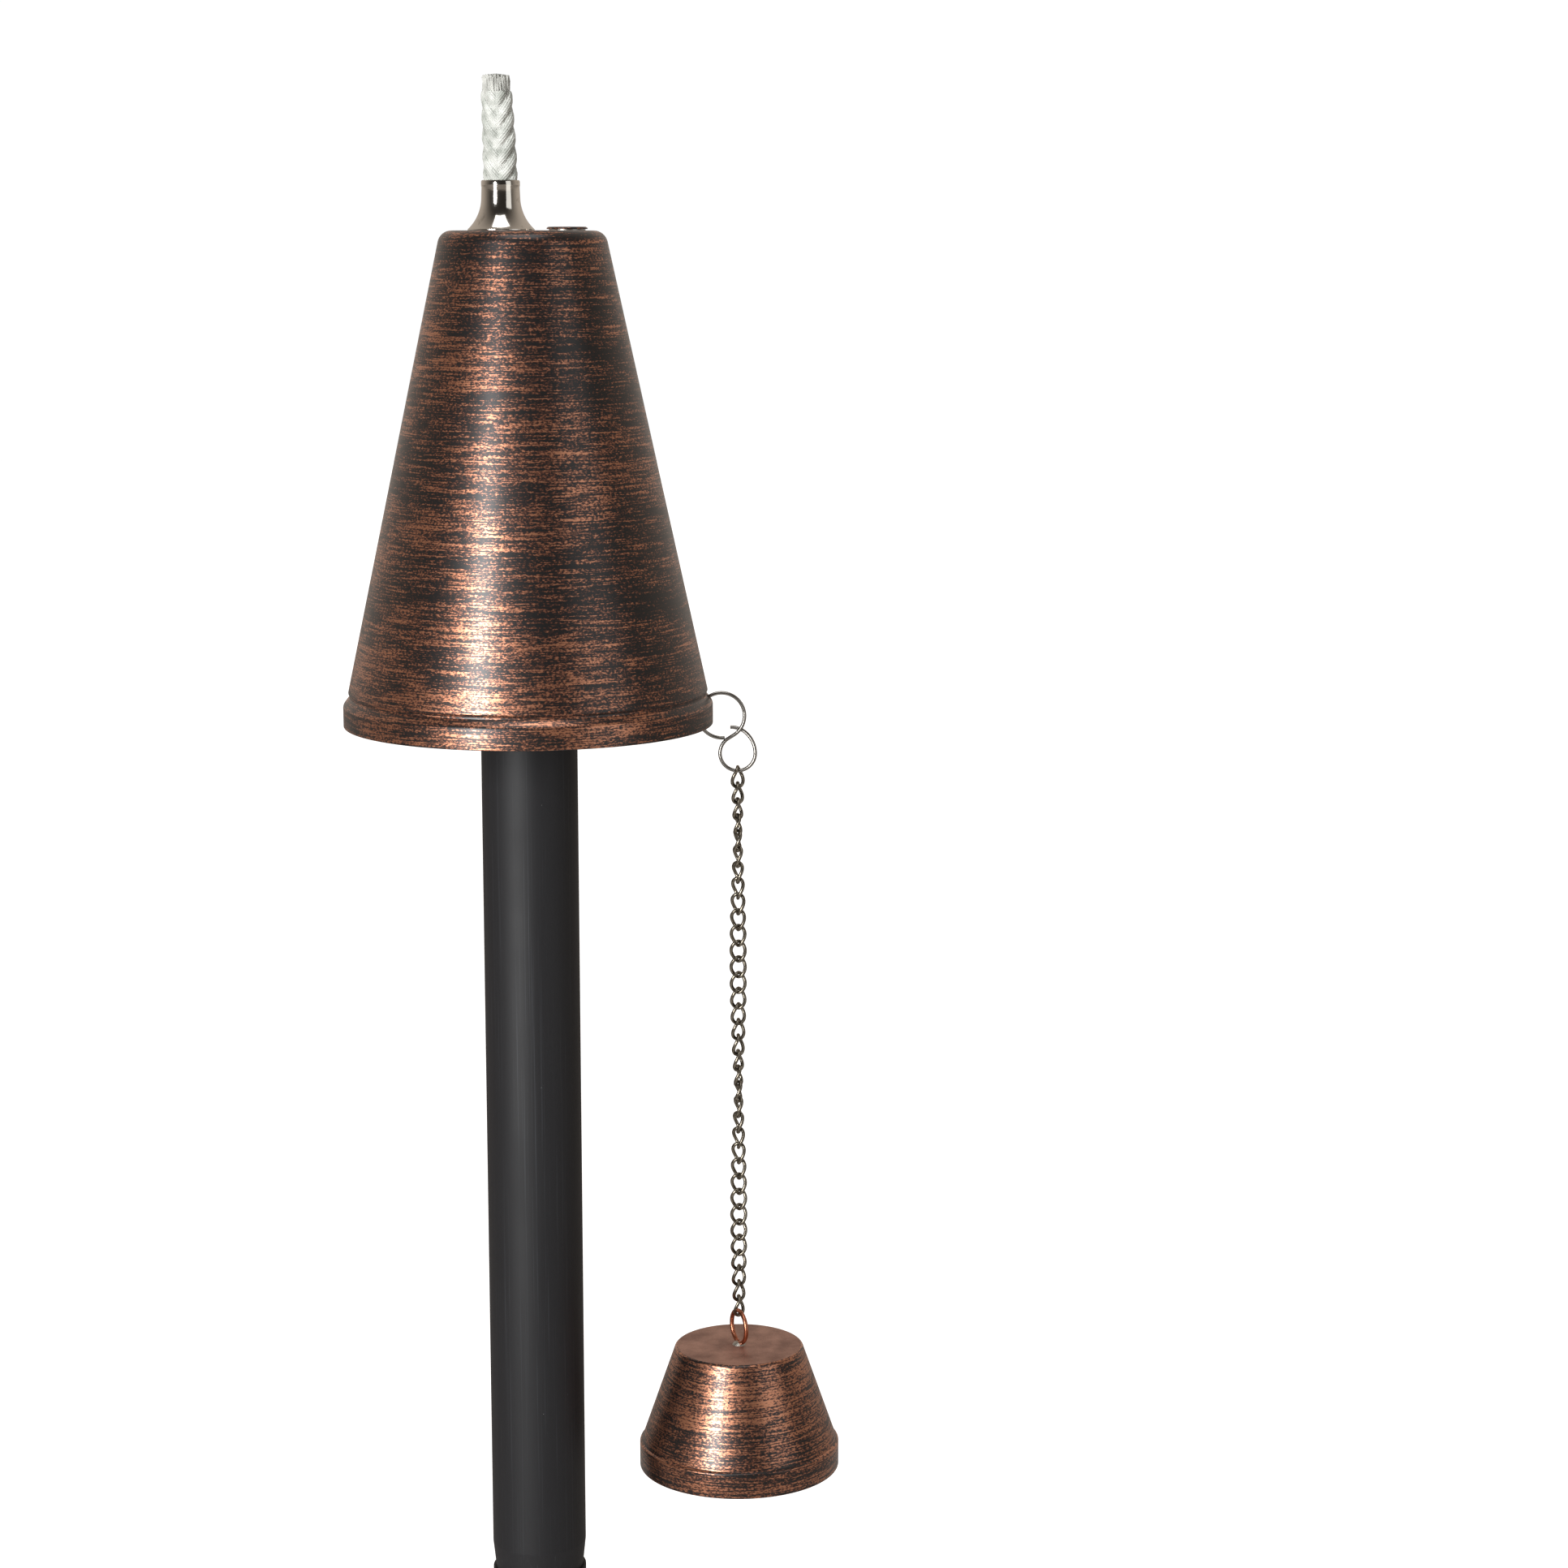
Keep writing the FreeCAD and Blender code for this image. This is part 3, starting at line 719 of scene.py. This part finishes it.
@dataclass(frozen=True)
class StudioPaper:
    """Matt white paper sweep that looks an even white from any side."""

    name: str = "white paper"
    glow: float = 1.0

    def build(self) -> bpy.types.Material:
        """Build the material."""
        material, tree, shader = new_material(self.name)
        place = add(tree, "ShaderNodeTexCoord").outputs["Object"]
        tooth = add(tree, "ShaderNodeTexNoise", {"Scale": 900.0}, {"Vector": place})
        base = add(tree, "ShaderNodeMix", {6: linear("#f4f4f4"), 7: linear("#fbfbfb")},
                   {"Factor": tooth.outputs["Fac"]}, data_type="RGBA")
        rays = add(tree, "ShaderNodeLightPath")
        seen = add(tree, "ShaderNodeMath", {1: self.glow}, {0: rays.outputs["Is Camera Ray"]},
                   operation="MULTIPLY")
        shader.inputs["Roughness"].default_value = 0.9
        shader.inputs["Emission Color"].default_value = linear("#ffffff")
        tree.links.new(seen.outputs[0], shader.inputs["Emission Strength"])
        tree.links.new(base.outputs[2], shader.inputs["Base Color"])
        return material


def dress(obj: bpy.types.Object, material: bpy.types.Material) -> None:
    """Give a piece one material all over."""
    obj.data.materials.clear()
    obj.data.materials.append(material)


def dress_top(obj: bpy.types.Object, material: bpy.types.Material) -> None:
    """Give the faces that look straight up a second material.

    Args:
        obj: The piece, which already has its first material.
        material: The material of its top.
    """
    obj.data.materials.append(material)
    for face in obj.data.polygons:
        face.material_index = 1 if face.normal.z > 0.97 else 0


def carry_over(node: str, material: bpy.types.Material) -> None:
    """Give a CAD node, kept as it is, a finished material.

    Args:
        node: The node's name.
        material: The material for all its slots.
    """
    for slot in bpy.data.objects[node].material_slots:
        slot.material = material
    LOG.info("carried over %s", node)


def place_on(obj: bpy.types.Object, body: str, slot: str, *nodes: str) -> None:
    """Make a piece ride on a body in place of CAD nodes.

    Args:
        obj: The piece.
        body: The body's name.
        slot: The record's material slot. Not used.
        nodes: The CAD nodes that it stands for.
    """
    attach(obj, body)
    if nodes:
        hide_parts(*nodes)
    LOG.info("built %s on %s", obj.name, body)


# ---------------------------------------------------------------- sub-assemblies


@dataclass
class Pole:
    """Three black tubes and the ground spike. Sizes are in millimetres."""

    wall: float = 1.0
    taper: float = 10.0
    neck: float = 45.0
    edge: float = 0.25
    segments: int = 128
    coat: PowderCoat = field(default_factory=PowderCoat)

    def tube(self, node: str, necked: bool) -> bpy.types.Object:
        """Turn one tube to its CAD node's size.

        Args:
            node: The CAD node it stands for.
            necked: Whether its foot is swaged to a neck.

        Returns:
            The tube.
        """
        low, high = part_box(node)
        outer = (high.x - low.x) / 2 / MM
        top = (high.z - low.z) / MM
        inner = outer - self.wall
        if necked:
            slim = inner - 0.075
            corners = [
                (inner, self.neck + self.taper + 0.5, 3.0), (slim - self.wall, self.neck + 0.5, 3.0),
                (slim - self.wall, 0.0, 0.2), (slim, 0.0, self.edge),
                (slim, self.neck, 4.0), (outer, self.neck + self.taper, 4.0),
                (outer, top, self.edge), (inner, top, 0.2),
            ]
        else:
            corners = [(inner, 0.0, 0.2), (outer, 0.0, self.edge),
                       (outer, top, self.edge), (inner, top, 0.2)]
        middle = [((corners[-1][0] + corners[0][0]) / 2,
                   (corners[-1][1] + corners[0][1]) / 2, 0.0)]
        profile = soften(middle + corners + middle)[:-1]
        return lathe("looks_" + node, profile, Vector((0.0, 0.0, low.z)), self.segments)

    def build(self) -> None:
        """Build the tubes and dress the spike."""
        black = self.coat.build()
        for node, body, necked in (("pole_lower", Body.LOWER_POLE, False),
                                   ("pole_middle", Body.MIDDLE_POLE, True),
                                   ("pole_upper", Body.UPPER_POLE, True)):
            tube = self.tube(node, necked)
            dress(tube, black)
            place_on(tube, body.value, "pole_black", node)
        polymer = MouldedPolymer("black moulded polypropylene", "#161617", rough=0.5)
        carry_over("ground_spike", polymer.build())


@dataclass
class Head:
    """The spun head with its floor, burner and filler. Sizes are in millimetres."""

    crown: float = 26.5
    crown_round: float = 4.5
    shoulder: float = 58.9
    groove: float = 58.4
    band: float = 60.6
    band_top: float = 9.4
    height: float = 160.0
    sheet: float = 0.8
    hook_hole: float = 1.3
    hook_hole_z: float = 8.7
    burner_hole: float = 6.2
    filler_hole: float = 5.15
    hole_depth: float = 4.0
    ferrule_bore: float = 5.65
    ferrule_height: float = 15.9
    segments: int = 256

    def shell(self, base: Vector) -> bpy.types.Object:
        """Turn the cone with its flat crown and rounded band.

        Args:
            base: The middle of the band's foot, in metres.

        Returns:
            The shell.
        """
        thick = self.sheet
        foot = self.band_top
        profile = soften([
            (2.0, self.height, 0.0),
            (self.crown, self.height, self.crown_round),
            (self.shoulder, foot + 1.6, 0.8),
            (self.groove, foot + 0.8, 0.35),
            (self.groove, foot + 0.1, 0.35),
            (self.band - 1.5, foot - 0.45, 0.5),
            (self.band, foot - 2.4, 2.4),
            (self.band, 0.0, 0.3),
            (self.band - thick, 0.0, 0.25),
            (self.band - thick, foot - 2.9, 2.0),
            (self.band - 1.6 - thick, foot - 1.2, 0.5),
            (self.groove - thick, foot - 0.3, 0.3),
            (self.groove - thick, foot + 0.8, 0.3),
            (self.shoulder - thick * 1.03, foot + 1.6, 0.6),
            (self.crown - thick * 0.86, self.height - thick, self.crown_round - 0.6),
            (2.0, self.height - thick, 0.0),
        ], 8)
        return lathe("looks_head_shell", profile, base, self.segments, closed=False)

    def ferrule(self, base: Vector) -> bpy.types.Object:
        """Turn the flared ferrule, hollow under its bell.

        Args:
            base: The foot of the ferrule's axis, in metres.

        Returns:
            The ferrule.
        """
        bore, top = self.ferrule_bore, self.ferrule_height
        bell = arc((10.5, 0.6), (6.25, 10.5), 14.0)
        hollow = arc((9.9, 0.2), (bore, 10.1), 14.3)
        lip = [(6.12, top - 2.2), (6.22, top - 1.7), (6.22, top - 0.5), (6.05, top - 0.08),
               (5.85, top), (bore + 0.04, top - 0.06), (bore, top - 0.3)]
        foot = [(9.95, 0.02), (10.6, 0.02), (10.75, 0.1), (10.75, 0.38), (10.65, 0.46)]
        profile = foot + bell + lip + hollow[::-1]
        return lathe("looks_wick_ferrule", profile, base, 192)

    def cap(self, base: Vector) -> bpy.types.Object:
        """Turn the low filler cap with its plug.

        Args:
            base: The filler's axis at the crown, in metres.

        Returns:
            The cap.
        """
        profile = soften([
            (1.0, 1.0, 0.0), (3.4, 1.0, 0.4), (4.1, 1.2, 0.3), (6.0, 1.2, 0.4),
            (6.6, 0.85, 0.3), (6.6, 0.45, 0.12), (4.2, 0.45, 0.1), (4.2, -4.3, 0.08),
            (3.4, -4.3, 0.08), (3.4, -5.7, 0.08), (4.2, -5.7, 0.08), (4.2, -7.0, 0.2),
            (3.7, -8.0, 0.2), (1.0, -8.0, 0.0),
        ], 4)
        return lathe("looks_filler_cap", profile, base, 96, closed=False)

    def build(self) -> None:
        """Build and dress every piece of the head."""
        low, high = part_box("head_shell")
        base = Vector((0.0, 0.0, low.z))
        shell = self.shell(base)
        burner_low, burner_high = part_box("wick_tube")
        filler_low, filler_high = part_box("filler_neck")
        burner = (burner_low + burner_high) / 2
        filler = (filler_low + filler_high) / 2
        up = Vector((0.0, 0.0, 1.0))
        drill(shell, self.burner_hole, Vector((burner.x, 0.0, high.z)), up, self.hole_depth)
        drill(shell, self.filler_hole, Vector((filler.x, 0.0, high.z)), up, self.hole_depth)
        hole = Vector((self.band * MM, 0.0, low.z + self.hook_hole_z * MM))
        drill(shell, self.hook_hole, hole, Vector((1.0, 0.0, 0.0)), 8.0)
        settle(shell, "looks_head_shell", 30.0)
        dress(shell, SpunCopper().build())
        place_on(shell, Body.HEAD.value, "copper_black", "head_shell")

        nickel = PlatedMetal("bright nickel plate", "#d9d5cd", "#8b857b", gloss=0.10,
                             line_mm=0.3, stain_mm=5.0, stained=0.25, relief=0.08, teeth=110,
                             teeth_x=burner.x, teeth_top=high.z + 1.1 * MM)
        ferrule = self.ferrule(Vector((burner.x, 0.0, high.z)))
        shiny = nickel.build()
        dress(ferrule, shiny)
        place_on(ferrule, Body.HEAD.value, "nickel", "wick_ferrule")
        cap = self.cap(Vector((filler.x, 0.0, high.z)))
        dress(cap, SpunCopper("copper rubbed through dark lacquer, cap", filler.x,
                              seed=8.1).build())
        place_on(cap, Body.CAP.value, "nickel", "filler_cap")

        enamel = MouldedPolymer("black stove enamel", "#121213", rough=0.38, grain_mm=0.8).build()
        carry_over("base_pan", enamel)
        carry_over("pole_socket", enamel)
        plated = PlatedMetal("dull zinc plate", "#a9a69f", "#6f6a62", gloss=0.34).build()
        carry_over("wick_tube", plated)
        carry_over("filler_neck", plated)
        rubber = MouldedPolymer("nitrile rubber", "#0e0e0e", rough=0.7)
        carry_over("filler_seal", rubber.build())


@dataclass
class Wick:
    """A plaited sheath round a loose core. Sizes are in millimetres."""

    show: float = 43.5
    core_show: float = 49.8
    lead: float = 37.0
    carriers: int = 6
    yarns: int = 6
    yarn: float = 0.45
    gap: float = 0.60
    swell: float = 0.40
    lean: float = 0.9
    winding: float = 4.9
    fibres: int = 260

    def outside(self, height: float) -> float:
        """The sheath's outer radius at a height above the crown.

        Args:
            height: The height.

        Returns:
            The radius.
        """
        if height < 16.0:
            return 5.55
        if height < 18.0:
            return 5.55 + 0.13 * (height - 16.0)
        return 5.81 - 0.6 * ((height - 18.0) / (self.show - 18.0)) ** 1.2

    def sway(self, height: float) -> float:
        """How far the wick leans at a height above the crown."""
        return -self.lean * max(0.0, (height - 14.0) / (self.show - 14.0)) ** 1.5

    def strand(self, base: Vector, way: Braid, index: int, yarn: int) -> list[Vector]:
        """The centre line of one yarn of one strand.

        Args:
            base: The wick's axis at the crown, in metres.
            way: Which way the strand winds.
            index: The strand's number in its family.
            yarn: The yarn's number in its strand.

        Returns:
            Points, in metres.
        """
        line = []
        low = -16.0
        steps = 110
        slope = math.atan2(TURN * self.winding, self.lead)
        aside = self.gap * (yarn - (self.yarns - 1) / 2)
        round_off = (2 * aside / (self.gap * (self.yarns - 1))) ** 2
        for step in range(steps + 1):
            height = low + (self.show - low) * step / steps
            angle = TURN * (index / self.carriers + way.value * height / self.lead)
            angle += aside * math.cos(slope) / self.winding
            over = math.tanh(2.0 * math.cos(2.0 * (angle + math.pi / 4))) * way.value
            radius = self.outside(height) - self.yarn - self.swell * (1.0 - over)
            radius -= 0.50 * round_off * (1.0 + 0.5 * over)
            x = radius * math.cos(angle) + self.sway(height)
            y = radius * math.sin(angle)
            z = min(height - way.value * aside * math.sin(slope), self.show)
            line.append(base + Vector((x, y, z)) * MM)
        return line

    def sheath(self, base: Vector, route: list[Vector]) -> bpy.types.Object:
        """Plait the sheath and lay its hidden tail.

        Args:
            base: The wick's axis at the crown, in metres.
            route: The tail's line, in metres.

        Returns:
            The sheath.
        """
        lines = [self.strand(base, way, index, yarn) for way in Braid
                 for index in range(self.carriers) for yarn in range(self.yarns)]
        plait = bend_wires("plait", lines, self.yarn * MM, sides=2)
        lining = [base + Vector((self.sway(h), 0.0, h)) * MM for h in range(-16, 43, 3)]
        inside = bend_wires("lining", [lining], 4.3 * MM, sides=6)
        tail = bend_wires("tail", [route], 5.3 * MM, sides=6)
        return join([plait, inside, tail], "looks_wick_sheath")

    def core(self, base: Vector) -> bpy.types.Object:
        """Stand the loose fibres of the core in the sheath's mouth.

        Args:
            base: The wick's axis at the crown, in metres.

        Returns:
            The core.
        """
        dice = random.Random(7)
        lines = []
        for number in range(self.fibres):
            reach = 4.4 * math.sqrt((number + 0.5) / self.fibres)
            angle = number * 2.39996
            top = self.core_show - 0.4 - dice.uniform(0.0, 1.3) ** 2.4 - 0.12 * reach
            line = []
            for step in range(6):
                height = self.show - 4.0 + (top - self.show + 4.0) * step / 5
                ease = 1.0 + 0.04 * math.sin(step * 1.3 + number) - 0.012 * step
                x = reach * ease * math.cos(angle) + self.sway(height) + dice.uniform(-0.07, 0.07)
                y = reach * ease * math.sin(angle) + dice.uniform(-0.07, 0.07)
                line.append(base + Vector((x, y, height)) * MM)
            lines.append(line)
        return bend_wires("looks_wick_core", lines, 0.3 * MM, sides=1)

    def build(self) -> None:
        """Build and dress the wick."""
        low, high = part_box("wick_tube")
        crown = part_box("head_shell")[1].z
        axis_x = (low.x + high.x) / 2
        base = Vector((axis_x, 0.0, crown))
        tail_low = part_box("wick_sheath")[0]
        route = [
            Vector((axis_x, 0.0, crown - 0.015)), Vector((axis_x, 0.0, crown - 0.045)),
            Vector((axis_x - 0.0014, 0.0, crown - 0.054)),
            Vector((axis_x - 0.0054, 0.0, crown - 0.0622)),
            Vector((axis_x - 0.0236, 0.0, crown - 0.0881)),
            Vector((axis_x - 0.0276, 0.0, crown - 0.0963)),
            Vector((axis_x - 0.0290, 0.0, crown - 0.1053)),
            Vector((axis_x - 0.0290, 0.0, tail_low.z + 0.0005)),
        ]
        sheath = self.sheath(base, route)
        dress(sheath, GlassFibre().build())
        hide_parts("wick_sheath")
        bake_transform(sheath)
        LOG.info("built %s", sheath.name)
        core = self.core(base)
        dress(core, GlassFibre("loose glass fibre", "#e0e1dc", "#a3a49e", 0.14).build())
        place_on(core, Body.WICK.value, "glass_core", "wick_core")


@dataclass
class Hook:
    """The S-hook bent from round wire. Sizes are in millimetres."""

    wire: float = 0.6
    loop: float = 7.6
    eye: float = 5.815
    eye_x: float = 5.3
    eye_drop: float = 12.5
    behind: float = 1.45
    loop_turn: float = 336.0
    tail_side: float = 0.42
    tail_up: float = 1.46
    ease: float = 1.16

    def spring(self, start: Vector, way: Vector, end: Vector, way_end: Vector,
               steps: int = 24) -> list[Vector]:
        """A smooth bend between two points with directions.

        Args:
            start: The first point.
            way: The wire's direction there.
            end: The last point.
            way_end: The wire's direction there.
            steps: Parts of the bend.

        Returns:
            The bend's points after its first one.
        """
        reach = (end - start).length * self.ease
        points = []
        for step in range(1, steps + 1):
            t = step / steps
            points.append(start * (1 + 2 * t) * (1 - t) ** 2 + way * reach * t * (1 - t) ** 2
                          + end * (3 - 2 * t) * t ** 2 + way_end * reach * (t - 1) * t ** 2)
        return points

    def build(self) -> None:
        """Bend the hook from its upper cut end to its lower one."""
        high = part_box("s_hook")[1]
        eye = Vector((self.eye_x, 0.0, -self.eye_drop))
        centre = Vector((high.x - (self.eye_x + self.eye + self.wire) * MM, 0.0,
                         high.z - (self.loop + self.wire) * MM))
        leave = math.atan2(eye.z, eye.x) + math.acos((self.loop + self.eye) / eye.length)
        begin = leave + math.radians(self.loop_turn)
        arrive = leave + math.pi
        back = Vector((0.0, self.behind, 0.0))
        up = Vector((0.0, 0.0, 1.0))
        line = [spoke(begin, self.loop) + back]
        line += self.spring(line[0], Vector((math.sin(begin), 0.0, -math.cos(begin))),
                            spoke(math.pi, self.loop), up)
        line += [spoke(math.pi + (leave - math.pi) * k / 50, self.loop) for k in range(1, 51)]
        line += [eye + spoke(arrive + (TURN - arrive) * k / 44, self.eye) for k in range(45)]
        finish = eye + Vector((-self.tail_side * self.eye, self.behind, self.tail_up * self.eye))
        line += self.spring(line[-1], up, finish, Vector((-1.0, 0.0, -0.05)).normalized())
        points = [centre + point * MM for point in line]
        hook = bend_wires("looks_s_hook", [points], self.wire * MM, sides=5)
        wire = PlatedMetal("bright zinc wire", "#94918c", "#5c5955", gloss=0.26, line_mm=0.4,
                           stain_mm=2.5, stained=0.3, relief=0.02)
        dress(hook, wire.build())
        place_on(hook, Body.HEAD.value, "hook_wire", "s_hook")


@dataclass
class Chain:
    """Thirty-five twisted curb links in seven pieces of five. Sizes are in millimetres."""

    pieces: int = 7
    each: int = 5
    wire: float = 0.6
    half: float = 3.375
    wide: float = 2.35
    turn: float = 11.057
    pitch: float = 5.35
    steps: int = 44

    def link(self) -> bpy.types.Object:
        """Bend one twisted link, hung from its top at the origin."""
        points = []
        for step in range(self.steps):
            around = TURN * step / self.steps
            height = self.half * math.sin(around)
            way = math.radians((self.turn - QUARTER_DEG) * (self.half - height)
                               / (2 * self.half))
            out = self.wide * math.cos(around)
            points.append(Vector((out * math.cos(way), out * math.sin(way),
                                  height - self.half)) * MM)
        return bend_wires("link", [points], self.wire * MM, cyclic=True, sides=3)

    def build(self) -> None:
        """Copy the link down the chain and join the copies by piece."""
        steel = PlatedMetal("antique nickel plate", "#8a8376", "#221e1a", gloss=0.25,
                            line_mm=0.5, stain_mm=1.4, stained=0.75, relief=0.06).build()
        first = self.link()
        for piece in range(self.pieces):
            node = "chain_%d" % (piece + 1)
            low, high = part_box(node)
            place = Vector(((low.x + high.x) / 2, 0.0, high.z - self.wire * MM))
            copies = []
            for k in range(self.each):
                turned = math.radians(QUARTER_DEG + self.turn * (piece * self.each + k))
                drop = Vector((0.0, 0.0, k * self.pitch * MM))
                copies.append(copied(first, Matrix.Translation(place - drop)
                                     @ Matrix.Rotation(turned, 4, "Z")))
            links = join(copies, "looks_" + node)
            dress(links, steel)
            place_on(links, "links_%d" % (piece + 1), "chain_steel", node)
        bpy.data.objects.remove(first)


@dataclass
class Snuffer:
    """The small lid that hangs on the chain. Sizes are in millimetres."""

    height: float = 42.0
    crown: float = 21.6
    crown_round: float = 1.2
    shoulder: float = 32.7
    band: float = 33.9
    band_height: float = 9.0
    sheet: float = 0.7
    ring: float = 5.5
    ring_wire: float = 0.75
    ring_turn: float = -63.0
    ring_open: float = 5.0
    ring_steps: int = 72

    def shell(self, top: Vector) -> bpy.types.Object:
        """Turn the lid with its flat top and banded rim.

        Args:
            top: The middle of its top, in metres.

        Returns:
            The lid.
        """
        thick = self.sheet
        foot = -self.height
        groove = foot + self.band_height
        profile = soften([
            (2.0, 0.0, 0.0), (self.crown, 0.0, self.crown_round),
            (self.shoulder, groove + 1.2, 0.5), (self.shoulder + 0.2, groove, 0.2),
            (self.band, groove - 0.4, 1.4), (self.band, foot, 0.3),
            (self.band - thick, foot, 0.2), (self.band - thick, groove - 1.1, 1.0),
            (self.shoulder + 0.2 - thick, groove - 0.6, 0.2),
            (self.shoulder - thick, groove + 1.2, 0.4),
            (self.crown - thick * 0.8, -thick, self.crown_round - 0.5), (2.0, -thick, 0.0),
        ], 7)
        return lathe("looks_snuffer_shell", profile, top, 192, closed=False)

    def build(self) -> None:
        """Build and dress the lid, its ring and the solder."""
        low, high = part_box("snuffer_shell")
        top = Vector(((low.x + high.x) / 2, 0.0, high.z))
        shell = self.shell(top)
        finish = SpunCopper("copper rubbed through dark lacquer, lid", top.x, bare=0.57, seed=3.7)
        dress(shell, finish.build())
        # The lid's upward faces get a lighter plain copper: painted light on its top.
        dress_top(shell, PlainCopperPaintedTopLight().build())
        place_on(shell, Body.SNUFFER.value, "copper_black", "snuffer_shell")

        ring_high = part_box("snuffer_ring")[1].z
        centre = Vector((top.x, 0.0, ring_high - (self.ring + self.ring_wire) * MM))
        around = Matrix.Rotation(math.radians(self.ring_turn), 3, "Z")
        begin = self.ring_open / 2 - QUARTER_DEG
        sweep = 360.0 - self.ring_open
        turns = [math.radians(begin + sweep * k / self.ring_steps)
                 for k in range(self.ring_steps + 1)]
        line = [centre + around @ spoke(turn, self.ring) * MM for turn in turns]
        ring = bend_wires("looks_snuffer_ring", [line], self.ring_wire * MM, sides=5)
        copper = PlatedMetal("drawn copper wire", "#c07a5e", "#5a3122", gloss=0.27, line_mm=0.3,
                             stain_mm=2.0, stained=0.5)
        dress(ring, copper.build())
        place_on(ring, Body.SNUFFER.value, "copper_wire", "snuffer_ring")
        solder = PlatedMetal("tin solder", "#b3aea5", "#6b655c", gloss=0.38, line_mm=0.6,
                             stain_mm=1.2)
        carry_over("ring_solder", solder.build())


# ---------------------------------------------------------------- studio


@dataclass
class SoftBox:
    """A soft rectangular light aimed at a point."""

    name: str
    place: Corner
    aim: Corner
    wide: float
    tall: float
    power: float

    def build(self) -> None:
        """Add the light."""
        way = Vector(self.aim) - Vector(self.place)
        bpy.ops.object.light_add(type="AREA", location=self.place,
                                 rotation=way.to_track_quat("-Z", "Y").to_euler())
        light = bpy.context.object
        light.name = self.name
        light.data.shape = "RECTANGLE"
        light.data.size = self.wide
        light.data.size_y = self.tall
        light.data.energy = self.power


@dataclass
class Studio:
    """White paper under the spike's tip, soft boxes and a white surround."""

    floor_z: float = -0.176
    room: float = 0.03
    tent: float = 0.5
    backdrop: float = 1.02

    def build(self) -> None:
        """Lay the floor and set the light."""
        deselect()
        bpy.ops.mesh.primitive_plane_add(size=40.0, location=(0.0, 0.0, self.floor_z))
        floor = bpy.context.object
        floor.name = "studio_floor"
        dress(floor, StudioPaper().build())

        world = bpy.data.worlds.new("white surround")
        bpy.context.scene.world = world
        world.use_nodes = True
        tree = world.node_tree
        tree.nodes.clear()
        rays = add(tree, "ShaderNodeLightPath")
        way = add(tree, "ShaderNodeTexCoord")
        split = add(tree, "ShaderNodeSeparateXYZ", None, {"Vector": way.outputs["Generated"]})
        shade = add(tree, "ShaderNodeMapRange",
                    {"From Min": -0.75, "From Max": 0.75, "To Min": self.room,
                     "To Max": self.tent}, {"Value": split.outputs["Y"]},
                    interpolation_type="SMOOTHSTEP")
        dim = add(tree, "ShaderNodeBackground", None, {"Strength": shade.outputs[0]})
        dim.inputs["Color"].default_value = linear("#fff0e2")
        bright = add(tree, "ShaderNodeBackground", {"Strength": self.backdrop})
        bright.inputs["Color"].default_value = linear("#ffffff")
        both = add(tree, "ShaderNodeMixShader", None,
                   {0: rays.outputs["Is Camera Ray"], 1: dim.outputs[0], 2: bright.outputs[0]})
        add(tree, "ShaderNodeOutputWorld", links={"Surface": both.outputs[0]})

        SoftBox("key_light", (-0.66, -1.25, 1.2), (0.0, 0.0, 1.05), 0.3, 0.9, 23.0).build()
        SoftBox("fill_light", (1.2, -0.9, 1.3), (0.0, 0.0, 1.05), 0.8, 1.4, 3.5).build()
        SoftBox("top_light", (0.0, -0.5, 2.6), (0.0, 0.0, 1.2), 1.0, 1.0, 9.0).build()
        bpy.context.scene.view_settings.view_transform = "Standard"


@dataclass
class Viewpoint:
    """The camera, a short telephoto level with the crown that looks a little down."""

    place: Corner = (0.084, -1.058, 1.2151)
    down_deg: float = 9.45
    lens: float = 74.5

    def build(self) -> None:
        """Add the camera."""
        bpy.ops.object.camera_add(
            location=self.place, rotation=(math.radians(QUARTER_DEG - self.down_deg), 0.0, 0.0))
        camera = bpy.context.object
        camera.name = "front_camera"
        camera.data.lens = self.lens
        camera.data.sensor_width = 36.0
        bpy.context.scene.camera = camera


def main() -> None:
    """Build every sub-assembly in order."""
    logging.basicConfig(level=logging.INFO, format="%(message)s")
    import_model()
    for part in (Pole(), Head(), Wick(), Hook(), Chain(), Snuffer(), Studio(), Viewpoint()):
        part.build()


if __name__ == "__main__":
    main()
